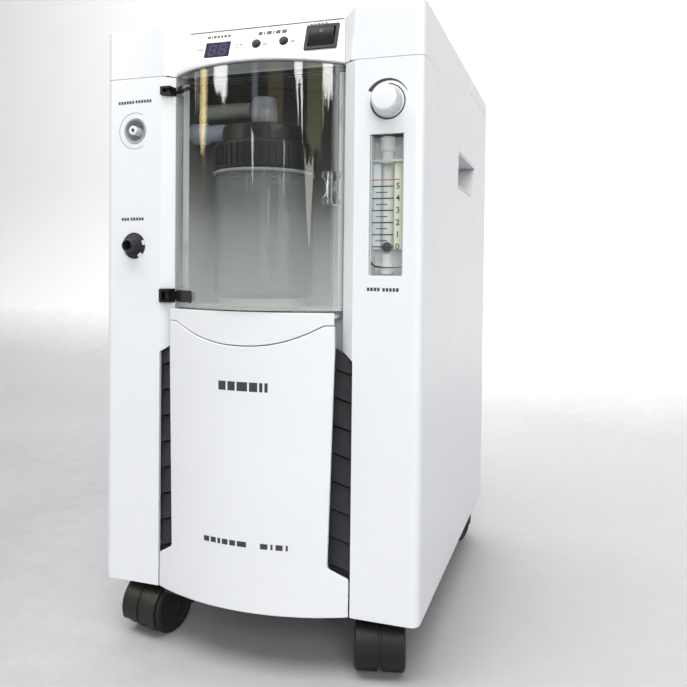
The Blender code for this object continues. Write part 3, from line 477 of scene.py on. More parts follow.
def loft(rings, axis="Z", shape=None):
    """Joins outlines with the same number of points, one per level, into a capped solid."""
    shape = shape or bmesh.new()
    made = []
    for outline, level in rings:
        made.append([shape.verts.new(to_axis(axis, u, v, level)) for u, v in outline])
    faces = [shape.faces.new(made[0]), shape.faces.new(made[-1])]
    count = len(made[0])
    for lower, upper in zip(made, made[1:]):
        for i in range(count):
            j = (i + 1) % count
            faces.append(shape.faces.new((lower[i], lower[j], upper[j], upper[i])))
    bmesh.ops.recalc_face_normals(shape, faces=faces)
    return shape


def block(low, high, shape=None):
    return prism(rectangle(low[0], low[1], high[0], high[1]), low[2], high[2], "Z", shape)


def turned(profile, steps=64, axis="Z", centre=(0, 0, 0), closed=False):
    """Spins (radius, level) points round an axis; a closed profile leaves a bore."""
    shape = bmesh.new()
    points = [shape.verts.new((r, 0, level)) for r, level in profile]
    pairs = list(zip(points, points[1:]))
    if closed:
        pairs.append((points[-1], points[0]))
    edges = [shape.edges.new(pair) for pair in pairs]
    bmesh.ops.spin(shape, geom=points + edges, cent=(0, 0, 0), axis=(0, 0, 1),
                   angle=2 * math.pi, steps=steps, use_merge=True)
    bmesh.ops.remove_doubles(shape, verts=shape.verts, dist=1e-6)
    bmesh.ops.recalc_face_normals(shape, faces=shape.faces)
    turn = {"Z": Matrix(), "X": Matrix.Rotation(math.pi / 2, 4, "Y"),
            "Y": Matrix.Rotation(-math.pi / 2, 4, "X")}[axis]
    bmesh.ops.transform(shape, matrix=Matrix.Translation(centre) @ turn, verts=shape.verts)
    return shape


def cylinder(radius, low, high, axis, centre, steps=48):
    return turned([(0, low), (radius, low), (radius, high), (0, high)], steps, axis, centre)


def mirrored(shape):
    bmesh.ops.scale(shape, vec=(-1, 1, 1), verts=shape.verts)
    bmesh.ops.reverse_faces(shape, faces=shape.faces)
    return shape


def sloped(shape, rise):
    """Shears a shape so that its height changes with its distance from the middle plane."""
    for vert in shape.verts:
        vert.co.z += rise * abs(vert.co.x)
    return shape


def softened(profile, radius=0.0006, steps=3):
    """A profile with each inner corner rounded, for turned pieces."""
    found = [profile[0]]
    for before, here, after in zip(profile, profile[1:], profile[2:]):
        a, b, c = Vector(before), Vector(here), Vector(after)
        reach = min(radius, (a - b).length * 0.4, (c - b).length * 0.4)
        start, end = b + (a - b).normalized() * reach, b + (c - b).normalized() * reach
        for i in range(steps + 1):
            t = i / steps
            found.append(tuple(start * (1 - t) ** 2 + b * 2 * t * (1 - t) + end * t * t))
    return found + [profile[-1]]


# ---- pieces ----
def empty(name, location, rotation=(0, 0, 0)):
    made = bpy.data.objects.new(name, None)
    bpy.context.scene.collection.objects.link(made)
    made.location = location
    made.rotation_euler = rotation
    return made


PANEL_FRAME = empty("control_panel_frame", (0, PANEL_Y, SEAM), (-PANEL_LEAN, 0, 0))
SAME = object()


def add(name, shape, finish=None, parent=None, location=(0, 0, 0), rotation=(0, 0, 0)):
    mesh = bpy.data.meshes.new(name)
    shape.to_mesh(mesh)
    shape.free()
    made = bpy.data.objects.new(name, mesh)
    bpy.context.scene.collection.objects.link(made)
    made.parent = parent
    made.location = location
    made.rotation_euler = rotation
    if finish:
        mesh.materials.append(finish)
    return made


def combine(target, shape, operation, parent=SAME):
    """A Boolean of a helper, which shares the target's place unless a parent is given."""
    own = parent is SAME
    helper = add(f"{target.name}_helper_{len(target.modifiers)}", shape,
                 parent=target.parent if own else parent,
                 location=target.location if own else (0, 0, 0),
                 rotation=target.rotation_euler if own else (0, 0, 0))
    helper.hide_render = True
    step = target.modifiers.new(operation.title(), "BOOLEAN")
    step.object = helper
    step.operation = operation
    step.solver = "EXACT"
    return helper


def cut(target, shape, parent=SAME):
    return combine(target, shape, "DIFFERENCE", parent)


def join(target, shape, parent=SAME):
    return combine(target, shape, "UNION", parent)


def keep(target, shape, parent=SAME):
    return combine(target, shape, "INTERSECT", parent)


def cleaned(mesh):
    """Joins what a Boolean split: doubled points, and faces that lie in one plane."""
    shape = bmesh.new()
    shape.from_mesh(mesh)
    bmesh.ops.remove_doubles(shape, verts=shape.verts, dist=0.00001)
    bmesh.ops.dissolve_degenerate(shape, edges=shape.edges, dist=0.00001)
    bmesh.ops.dissolve_limit(shape, angle_limit=math.radians(0.4), verts=shape.verts, edges=shape.edges)
    shape.to_mesh(mesh)
    shape.free()


def folded(mesh):
    """The faces that fold over themselves, found by their triangles covering more than they do."""
    mesh.calc_loop_triangles()
    areas = [0.0] * len(mesh.polygons)
    for triangle in mesh.loop_triangles:
        areas[triangle.polygon_index] += triangle.area
    return [face for area, face in zip(areas, mesh.polygons) if area > face.area * 1.05 + 4e-7]


def mended(mesh, reach):
    """Merges the points that lie closer than a reach on folded faces, and says if that mended them."""
    points = {index for face in folded(mesh) for index in face.vertices}
    if not points:
        return True
    shape = bmesh.new()
    shape.from_mesh(mesh)
    shape.verts.ensure_lookup_table()
    bmesh.ops.remove_doubles(shape, verts=[shape.verts[i] for i in points], dist=reach)
    shape.to_mesh(mesh)
    shape.free()
    return not folded(mesh)


def evaluated(piece):
    bpy.context.view_layer.update()
    graph = bpy.context.evaluated_depsgraph_get()
    return bpy.data.meshes.new_from_object(piece.evaluated_get(graph), depsgraph=graph)


def settle(piece, edge=0.0005, segments=2, smooth_below=35):
    """Applies a piece's modifiers in the row frame, drops its helpers and rounds its edges."""
    helpers = [step.object for step in piece.modifiers if step.type == "BOOLEAN"]
    for helper in list(helpers):
        helpers += [step.object for step in helper.modifiers if step.type == "BOOLEAN"]
    finish = piece.data.materials[0]
    mesh = evaluated(piece)
    mesh.transform(piece.matrix_world)
    piece.modifiers.clear()
    piece.parent = None
    piece.matrix_world = Matrix()
    if helpers:
        cleaned(mesh)
    piece.data = mesh
    for width in (edge, edge * 0.7, edge * 0.45, edge * 0.25):
        if not width:
            break
        bevel = piece.modifiers.new("Edges", "BEVEL")
        bevel.width = width
        bevel.segments = segments
        bevel.limit_method = "ANGLE"
        bevel.angle_limit = math.radians(32)
        bevel.use_clamp_overlap = False
        rounded_mesh = evaluated(piece)
        piece.modifiers.clear()
        if any(mended(rounded_mesh, width * share) for share in (0.1, 0.25, 0.45)):
            piece.data = rounded_mesh
            break
    mesh = piece.data
    mesh.materials.clear()
    mesh.materials.append(finish)
    for face in mesh.polygons:
        face.material_index = 0
    for helper in helpers:
        bpy.data.objects.remove(helper, do_unlink=True)
    mesh.shade_smooth()
    mesh.set_sharp_from_angle(angle=math.radians(smooth_below))
    if edge:
        normals = piece.modifiers.new("Normals", "WEIGHTED_NORMAL")
        normals.keep_sharp = True
        normals.weight = 90
    return piece


def show(piece, body, *nodes, slot=None, edge=0.0005, segments=2, smooth_below=35):
    """Finishes a piece: it rides on a CAD body, and stands for the CAD nodes named."""
    settle(piece, edge, segments, smooth_below)
    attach(piece, body)
    if nodes:
        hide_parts(*nodes)
    return piece


def blended(points, steps):
    """A cubic Bezier through four control points."""
    found = []
    for i in range(steps + 1):
        t = i / steps
        weights = ((1 - t) ** 3, 3 * t * (1 - t) ** 2, 3 * t * t * (1 - t), t ** 3)
        found.append(sum((Vector(p) * w for p, w in zip(points, weights)), Vector()))
    return found


def swept(points, radius, steps=24, closed=False):
    """A round bar along a path of points, as a closed mesh."""
    shape = bmesh.new()
    rings = []
    points = [Vector(p) for p in points]
    count = len(points)
    for i, here in enumerate(points):
        before = points[i - 1] if i or closed else here
        after = points[(i + 1) % count] if i < count - 1 or closed else here
        ahead = (after - before).normalized()
        side = ahead.cross(Vector((0, 0, 1)))
        side = side.normalized() if side.length > 1e-4 else Vector((1, 0, 0))
        up = side.cross(ahead)
        ring = []
        for j in range(steps):
            angle = 2 * math.pi * j / steps
            ring.append(shape.verts.new(here + side * radius * math.cos(angle) + up * radius * math.sin(angle)))
        rings.append(ring)
    pairs = list(zip(rings, rings[1:]))
    if closed:
        pairs.append((rings[-1], rings[0]))
    else:
        shape.faces.new(rings[0])
        shape.faces.new(rings[-1])
    for lower, upper in pairs:
        for j in range(steps):
            k = (j + 1) % steps
            shape.faces.new((lower[j], lower[k], upper[k], upper[j]))
    bmesh.ops.recalc_face_normals(shape, faces=shape.faces)
    return shape


# ---- cabinet ----
def column(side):
    """One flat front column with its side return and its slanted bay edge."""
    path = [(-HALF, WRAP)]
    path += arc((-HALF + CORNER, FRONT + CORNER), CORNER, 180, 270, 12)
    path += [(-COLUMN_EDGE, FRONT), (-BAY_HALF, BAY_FRONT), (-BAY_HALF, BULKHEAD)]
    shape = prism(path + beside(path, WALL)[::-1], BOTTOM, SEAM - GAP)
    if side > 0:
        mirrored(shape)
    place = "left" if side < 0 else "right"
    piece = add(f"front_column_{place}", shape, WHITE)
    edge = COLUMN_EDGE + GAP
    vent = prism([(0.0750, BOTTOM - 0.01), (edge, BOTTOM - 0.01), (edge, VENT_HIGH), (0.0750, VENT_PEAK + 0.0026)],
                 -0.200, -0.160, "Y")
    cut(piece, mirrored(vent) if side < 0 else vent)
    if side < 0:
        holes = bmesh.new()
        for low, high in HINGES.values():
            block((-0.0926, -0.199, low - GAP), (-0.0750, -0.1862, high + GAP), holes)
        cut(piece, holes)
        for radius, (x, z) in ((0.0115, OXYGEN_PORT), (0.0121, NEBULISER_PORT)):
            cut(piece, cylinder(radius, -0.200, -0.185, "Y", (x, 0, z), 64))
        show(piece, "cabinet", "front_frame", slot="white_abs", edge=0.0007, segments=3)
    else:
        cut(piece, block((METER_SIDES[0], -0.200, METER_LOW), (METER_SIDES[1], -0.185, METER_HIGH)))
        cut(piece, cylinder(0.0036, -0.200, -0.185, "Y", (KNOB[0], 0, KNOB[1])))
        show(piece, "cabinet", slot="white_abs", edge=0.0007, segments=3)


def front_bulkhead():
    """The wall between the columns that the chamber, the vents and the lower panel stand on."""
    piece = add("bulkhead", block((-0.0845, BULKHEAD, 0.0588), (0.0845, BULKHEAD + WALL, SEAM - GAP)), WHITE)
    windows = block((-0.079, -0.176, LEDGE), (0.079, -0.165, 0.5178))
    for side in (-1, 1):
        block((side * 0.0535 - 0.0255, -0.176, 0.095), (side * 0.0535 + 0.0255, -0.165, 0.240), windows)
    cut(piece, windows)
    show(piece, "cabinet", slot="white_abs", edge=0.0004)


def recess(grow, back, low, high):
    """The sloping pocket in the control head, at two levels, with the sides folded corner to corner."""
    shape = bmesh.new()
    rings = []
    for z in (low, high):
        share = (z - SEAM) / (TOP - SEAM)
        half = BAY_HALF + (PANEL_TOP_HALF - BAY_HALF) * share + grow
        y = PANEL_Y + (z - SEAM) * math.tan(PANEL_LEAN)
        right = [(COLUMN_EDGE + grow, FRONT - 0.02), (COLUMN_EDGE + grow, FRONT), (half, y), (half, y + back)]
        ring = right + [(-x, level) for x, level in reversed(right)]
        rings.append([shape.verts.new((x, level, z)) for x, level in ring])
    lower, upper = rings
    shape.faces.new(lower)
    shape.faces.new(upper)
    for i in range(len(lower)):
        j = (i + 1) % len(lower)
        if i == 1:
            shape.faces.new((lower[i], lower[j], upper[i]))
            shape.faces.new((lower[j], upper[j], upper[i]))
        elif i == len(lower) - 3:
            shape.faces.new((lower[i], lower[j], upper[j]))
            shape.faces.new((lower[i], upper[j], upper[i]))
        else:
            shape.faces.new((lower[i], lower[j], upper[j], upper[i]))
    bmesh.ops.recalc_face_normals(shape, faces=shape.faces)
    return shape


def cabinet_shell():
    piece = add("cabinet_moulding", prism(rounded(-HALF, FRONT, HALF, BACK, CORNER), BOTTOM, TOP), WHITE)
    cut(piece, block((-0.16, -0.21, 0.04), (0.16, WRAP + GAP, SEAM)))
    inner = rounded(-HALF + WALL, FRONT + WALL, HALF - WALL, BACK - WALL, CORNER - WALL)
    cavity = cut(piece, prism(inner, 0.04, TOP - WALL))
    cut(cavity, recess(WALL, 0.0035 + WALL, SEAM - 0.010, TOP + 0.010))
    cut(piece, recess(0, 0.0035, SEAM - 0.001, TOP + 0.001))
    cut(piece, block((-0.066, -0.010, 0.008), (0.0735, 0.020, 0.0422)), PANEL_FRAME)
    cut(piece, block((-0.1400, 0.188, 0.0620), (0.1400, 0.20, 0.5440)))
    cut(piece, block((-0.16, LID_FRONT, LID_LOW - GAP), (0.16, 0.21, 0.58)))
    notches = bmesh.new()
    for side in (-1, 1):
        block((side * 0.150 - 0.004, 0.0555, 0.5468), (side * 0.150 + 0.004, 0.0600, 0.5510), notches)
        prism(HANDLE, side * 0.150 - 0.005, side * 0.150 + 0.005, "X", notches)
    cut(piece, notches)
    show(piece, "cabinet", "cabinet_shell", slot="white_abs", edge=0.0007, segments=3)


def rear_top_cover():
    piece = add("rear_lid", prism(rounded(-HALF, FRONT, HALF, BACK, CORNER), LID_LOW, TOP), WHITE)
    cut(piece, block((-0.16, -0.21, 0.54), (0.16, LID_FRONT + GAP, 0.58)))
    inner = rounded(-HALF + WALL, FRONT + WALL, HALF - WALL, BACK - WALL, CORNER - WALL)
    cut(piece, prism(inner, 0.54, TOP - WALL))
    notches = bmesh.new()
    for side in (-1, 1):
        block((side * 0.150 - 0.004, 0.0550, 0.5468), (side * 0.150 + 0.004, 0.0612, 0.5512), notches)
    cut(piece, notches)
    show(piece, "cabinet", "rear_top_cover", slot="white_abs", edge=0.0007, segments=3)


def handle_pocket(side):
    centre = (sum(y for y, _ in HANDLE) / 4, sum(z for _, z in HANDLE) / 4)

    def scaled(inset, lift):
        found = []
        for y, z in HANDLE:
            found.append((y - math.copysign(inset, y - centre[0]), z - math.copysign(inset, z - centre[1]) + lift))
        return found

    mouth, floor = HALF - 0.0002, HALF - 0.030
    shape = loft([(scaled(GAP + 0.004, 0.006), floor), (scaled(GAP, 0), HALF - 0.0045), (scaled(GAP, 0), mouth)], "X")
    hollow = loft([(scaled(0.0090, 0.006), floor + 0.0025), (scaled(0.0026, 0), HALF - 0.0045),
                   (scaled(0.0026, 0), mouth + 0.002)], "X")
    if side < 0:
        mirrored(shape)
        mirrored(hollow)
    place = "left" if side < 0 else "right"
    # Painted shade: the pocket's darker grey stands for the shade in the recess.
    piece = add(f"hand_recess_{place}", shape, POCKET_PAINTED_SHADE)
    cut(piece, hollow)
    show(piece, "cabinet", f"handle_pocket_{place}", slot="white_abs", edge=0.0006, segments=3)


# ---- control head ----
def panel_outline(side, low, top):
    share = top / PANEL_LENGTH
    upper = BAY_HALF + (PANEL_TOP_HALF - BAY_HALF) * share - side
    share = low / PANEL_LENGTH
    lower = BAY_HALF + (PANEL_TOP_HALF - BAY_HALF) * share - side
    return [(-lower, low), (lower, low), (upper, top), (-upper, top)]


def panel_openings(slack):
    x, z = DISPLAY
    shape = block((x - 0.0126 - slack, -0.01, z - 0.0081 - slack), (x + 0.0126 + slack, 0.02, z + 0.0081 + slack))
    x, z = SWITCH
    block((x - 0.0137 - slack, -0.01, z - 0.0111 - slack), (x + 0.0137 + slack, 0.02, z + 0.0111 + slack), shape)
    return shape


def control_panel():
    piece = add("control_panel_plate", prism(panel_outline(GAP, GAP, PANEL_LENGTH - 0.0002), 0, PANEL_THICK, "Y"),
                WHITE, PANEL_FRAME)

    def brow(inset):
        half = BAY_HALF - 0.0013
        front = [(x, min(y, -0.1874)) for x, y in bowed(DOOR_CENTRE, DOOR_RADIUS - inset, half)]
        return front + [(half, -0.1868), (-half, -0.1868)]

    rings = [(brow(0.0006), SEAM + GAP), (brow(0.0001), SEAM + 0.0009), (brow(0.0001), SEAM + 0.0030)]
    for i in range(1, 6):
        angle = math.pi / 2 * i / 5
        rings.append((brow(0.0001 + 0.0030 * (1 - math.cos(angle))), SEAM + 0.0030 + 0.0030 * math.sin(angle)))
    join(piece, loft(rings), None)
    cut(piece, panel_openings(0.0002))
    for x, z in BUTTONS.values():
        cut(piece, cylinder(0.0043, -0.01, 0.01, "Y", (x, 0, z)))
    show(piece, "cabinet", "control_panel", slot="white_abs", edge=0.0003)

    label = add("control_label", prism(panel_outline(0.0022, 0.0095, PANEL_LENGTH - 0.0030), -0.00018, 0.0001, "Y"),
                LABEL_WHITE, PANEL_FRAME)
    cut(label, panel_openings(0.0001))
    for x, z in BUTTONS.values():
        cut(label, cylinder(0.0043, -0.01, 0.01, "Y", (x, 0, z)))
    show(label, "cabinet", edge=0)

    line = prism(panel_outline(0.0006, PANEL_LENGTH - 0.0014, PANEL_LENGTH - 0.0006), -0.0004, 0.0002, "Y")
    show(add("panel_top_line", line, INK, PANEL_FRAME), "cabinet", edge=0)

    rim = bow_band(DOOR_CENTRE, DOOR_RADIUS - 0.0001, DOOR_RADIUS - 0.0040, -0.0795, 0.0795, 48)
    show(add("brow_rim", prism(rim, SEAM - 0.0011, SEAM + 0.0002), RIM_GREY), "cabinet", edge=0.0004)


def panel_marks():
    """Short plain bars stand where the panel carries its small words."""
    shape = bmesh.new()

    def bars(x, z, widths, height, gap):
        for width in widths:
            block((x, -0.00026, z), (x + width, -0.0001, z + height), shape)
            x += width + gap

    bars(-0.0560, 0.0384, [0.0030, 0.0012, 0.0028, 0.0026, 0.0024, 0.0030, 0.0028], 0.0027, 0.0009)
    bars(-0.0050, 0.0368, [0.0040, 0.0013, 0.0048, 0.0013, 0.0044, 0.0046], 0.0037, 0.0014)
    bars(-0.0650, 0.0262, [0.0014, 0.0026, 0.0020], 0.0010, 0.0006)
    bars(-0.0290, 0.0258, [0.0125], 0.0005, 0.0006)
    bars(-0.0262, 0.0284, [0.0026, 0.0030], 0.0011, 0.0014)
    bars(0.0440, 0.0424, [0.0026, 0.0023, 0.0027, 0.0024, 0.0026], 0.0012, 0.0009)
    for x, z in BUTTONS.values():
        bars(x + 0.0076, z + 0.0006, [0.0022], 0.0006, 0)
        bars(x + 0.0064, z - 0.0018, [0.0042], 0.0013, 0)
    show(add("panel_marks", shape, INK, PANEL_FRAME), "cabinet", edge=0)


def display_module():
    x, z = DISPLAY
    window = add("display_window", block((x - 0.0125, 0.0003, z - 0.0080), (x + 0.0125, 0.010, z + 0.0080)),
                 GLASS_BLACK, PANEL_FRAME)
    show(window, "cabinet", "display_module", slot="black_plastic", edge=0.0003)
    shape = bmesh.new()
    wide, tall, bar, lean = 0.0030, 0.0050, 0.0006, 0.13
    for centre in (x - 0.0052, x + 0.0052):
        for level in (-tall, 0, tall):
            block((centre - wide + bar, 0.00012, z + level - bar),
                  (centre + wide - bar, 0.0005, z + level + bar), shape)
        for side in (-wide, wide):
            for level in (-tall, 0):
                block((centre + side - bar, 0.00012, z + level + bar * 1.3),
                      (centre + side + bar, 0.0005, z + level + tall - bar * 1.3), shape)
    for vert in shape.verts:
        vert.co.x += lean * (vert.co.z - z)
    show(add("display_digits", shape, SEGMENT, PANEL_FRAME), "cabinet", edge=0)


def timer_button(name, place):
    radius, crown = 0.0040, 0.0011
    angles = [math.radians(degrees) for degrees in range(0, 91, 10)]
    dome = [(radius * math.sin(angle), -0.0012 - crown * math.cos(angle)) for angle in angles]
    profile = dome + [(radius, 0.0055), (0, 0.0055)]
    piece = add(f"button_cap_{name}", turned(profile, 48, "Y"), BLACK, PANEL_FRAME, (place[0], 0, place[1]))
    show(piece, f"timer_{name}", f"timer_button_{name}", slot="black_plastic", edge=0)


def power_switch():
    x, z = SWITCH
    place = (x, 0, z)
    flange = rounded(-0.0152, -0.0126, 0.0152, 0.0126, 0.0012, 5)
    bezel = add("switch_frame", prism(flange, -0.0018, -GAP, "Y"), BLACK, PANEL_FRAME, place)
    join(bezel, block((-0.0136, -0.0010, -0.0110), (0.0136, 0.0180, 0.0110)))
    cut(bezel, block((-0.0120, -0.0100, -0.0094), (0.0120, 0.0165, 0.0094)))
    show(bezel, "cabinet", "switch_bezel", slot="black_plastic", edge=0.0004)
    profile = [(-0.0070, 0.0076), (-0.0069, 0.0038), (-0.0068, 0.0), (-0.0050, -0.0044), (-0.0028, -0.0088),
               (0.0035, -0.0080), (0.0080, 0.0), (0.0035, 0.0080)]
    pivot = (x, ROCKER_DEPTH, z)
    rocker = add("switch_paddle", prism(profile, -0.0116, 0.0116, "X"), BLACK, PANEL_FRAME, pivot)
    show(rocker, "rocker", "switch_rocker", slot="black_plastic", edge=0.0005, segments=3)
    ring = turned([(0.0011, -0.00712), (0.0016, -0.00712), (0.0016, -0.0066), (0.0011, -0.0066)], 32, "Y",
                  (0.0004, 0, 0.0040), closed=True)
    show(add("switch_ring_mark", ring, SWITCH_INK, PANEL_FRAME, pivot), "rocker", edge=0)


# ---- humidifier bay ----
def chamber_liner():
    low, high = 0.3123, 0.5173
    piece = add("chamber_moulding", block((-0.0785, -0.1790, low), (0.0785, -0.1080, high)), LINER_PAINTED_SHADE)
    hollow = rounded(-0.0760, -0.230, 0.0760, -0.1105, 0.014)
    cut(piece, prism(hollow, low + 0.0025, high - 0.0025))
    join(piece, cylinder(0.0400, LEDGE + 0.0004, JAR_LOW - GAP, "Z", (*JAR, 0)))
    cut(piece, cylinder(0.0106, -0.09, -0.06, "X", (0, JAR[1], SPOUT_HEIGHT)))
    cut(piece, cylinder(0.0070, -0.13, -0.09, "Y", (-0.066, 0, INLET_HEIGHT)))
    show(piece, "cabinet", "chamber_liner", slot="light_grey_plastic", edge=0.0008)

    flange = add("chamber_flange", block((-0.0812, -0.1796, low), (0.0812, -0.1791, high)), WHITE)
    cut(flange, block((-0.0725, -0.19, low + 0.0025), (0.0735, -0.17, high + 0.01)))
    show(flange, "cabinet", edge=0.0002)
    # Painted shade: a charcoal strip above the bay's roof stands in for the shade under the brow.
    painted_shade_band = block((-0.0790, -0.1796, high + 0.0002), (0.0790, -0.1791, DOOR_HIGH - 0.0016))
    show(add("chamber_painted_shade_strip", painted_shade_band, CHARCOAL), "cabinet", edge=0)


def chamber_door():
    inner = DOOR_RADIUS - DOOR_THICK
    front = bowed(DOOR_CENTRE, DOOR_RADIUS, 0.0806, 72)
    path = [(-0.0806, -0.1800)] + front + [(0.0806, -0.1830)]
    outline = path + beside(path, DOOR_THICK)[::-1]
    piece = add("door_glazing", prism(outline, DOOR_LOW, DOOR_HIGH), DOOR_CLEAR)
    notches = bmesh.new()
    for low, high in HINGES.values():
        block((-0.0860, -0.2000, low - 0.0006), (-0.0775, -0.1700, high + 0.0006), notches)
    cut(piece, notches)
    show(piece, "door", "chamber_door", slot="clear_plastic", edge=0.0005)

    ribs = bmesh.new()
    foot = bow_band(DOOR_CENTRE, inner - 0.0001, inner - 0.0022, -0.0700, 0.0700, 48)
    prism(foot, DOOR_LOW, DOOR_LOW + 0.0032, "Z", ribs)
    for x0, x1, depth in ((0.0712, 0.0722, 0.0034), (0.0745, 0.0752, 0.0020)):
        upright = bow_band(DOOR_CENTRE, inner - 0.0001, inner - depth, x0, x1, 2)
        prism(upright, DOOR_LOW + 0.0005, DOOR_HIGH - 0.0005, "Z", ribs)
    for x0, x1, depth in ((-0.0748, -0.0740, 0.0030), (-0.0718, -0.0712, 0.0014)):
        low = HINGES["lower"][1] + 0.0010
        high = HINGES["upper"][0] - 0.0010
        prism(bow_band(DOOR_CENTRE, inner - 0.0001, inner - depth, x0, x1, 2), low, high, "Z", ribs)
    show(add("door_ribs", ribs, DOOR_CLEAR), "door", slot="clear_plastic", edge=0.0002)


def hinge(name, low, high):
    x, y = HINGE_AXIS
    lug = 0.0020
    bracket = add(f"door_knuckle_{name}", block((-0.0923, -0.1978, low), (-0.0818, -0.1868, high)), BLACK)
    swing = [(x - 0.0034, y - 0.010), (x + 0.010, y - 0.010), (x + 0.010, y + 0.010), (x - 0.0012, y + 0.0034),
             (x - 0.0034, y + 0.0012)]
    cut(bracket, prism(swing, low + lug, high - lug))
    cut(bracket, cylinder(0.0014, low - 0.001, high + 0.001, "Z", (x, y, 0), 24))
    show(bracket, "cabinet", f"hinge_bracket_{name}", slot="black_plastic", edge=0.0004)
    outer, inner = DOOR_RADIUS - DOOR_THICK - GAP, DOOR_RADIUS - 2 * DOOR_THICK - GAP
    reach = -0.0625 if name == "upper" else -0.0520
    blade = [(x - 0.0010, y + 0.0016), (x + 0.0008, y - 0.0018), (-0.0790, bow_y(DOOR_CENTRE, outer, 0.0790) + 0.0012)]
    steps = 12
    for radius, start, end in ((outer, -0.0776, reach), (inner, reach, -0.0776)):
        for i in range(steps + 1):
            px = start + (end - start) * i / steps
            blade.append((px, bow_y(DOOR_CENTRE, radius, px)))
    blade.append((-0.0796, -0.1852))
    arm = add(f"door_arm_{name}", prism(blade, low + lug + GAP, high - lug - GAP), BLACK)
    join(arm, cylinder(0.0026, low + lug + GAP, high - lug - GAP, "Z", (x, y, 0), 32))
    join(arm, cylinder(0.0011, low, high, "Z", (x, y, 0), 24))
    show(arm, "door", f"hinge_arm_{name}", slot="black_plastic", edge=0.0003)
    face = DOOR_RADIUS + 0.0001
    strap_end = -0.0690 if name == "upper" else -0.0530
    strap = prism(bow_band(DOOR_CENTRE, face + 0.0006, face, -0.0772, strap_end, 12), low + 0.0006, high - 0.0006)
    show(add(f"door_strap_{name}", strap, BLACK), "door", edge=0.0002)


def door_latch():
    radius = DOOR_RADIUS + GAP
    centre_z = 0.4163
    outline = bow_band(DOOR_CENTRE, radius + 0.0022, radius, 0.0664, 0.0788, 16)
    piece = add("latch_pull", prism(outline, centre_z - 0.0139, centre_z + 0.0139), THICK_CLEAR)
    waist = bmesh.new()
    for side, centre in ((-1, 0.0632), (1, 0.0820)):
        bow = []
        for i in range(17):
            t = -1 + i / 8
            bow.append((centre - side * 0.0062 * (1 - t ** 4), centre_z + 0.0105 * t))
        bow += [(centre + side * 0.01, centre_z + 0.0105), (centre + side * 0.01, centre_z - 0.0105)]
        prism(bow, -0.22, -0.17, "Y", waist)
    cut(piece, waist)
    rib = [(0.0712, -0.2025), (0.0740, -0.2010), (0.0740, -0.1965), (0.0712, -0.1982)]
    join(piece, prism(rib, centre_z - 0.0125, centre_z + 0.0125))
    show(piece, "door", "door_latch", slot="clear_plastic", edge=0.0004)


def ridged(radius, level_rings, teeth, ridge):
    """Rings of a knurled outline: (share of the radius, level, whether it is ridged)."""
    rings = []
    for share, level, cut_here in level_rings:
        ring = []
        for i in range(teeth * 4):
            angle = 2 * math.pi * i / (teeth * 4)
            lift = ridge * (0.5 + 0.5 * math.cos(teeth * angle)) if cut_here else 0
            r = radius * share - lift
            ring.append((r * math.cos(angle), r * math.sin(angle)))
        rings.append((ring, level))
    return rings


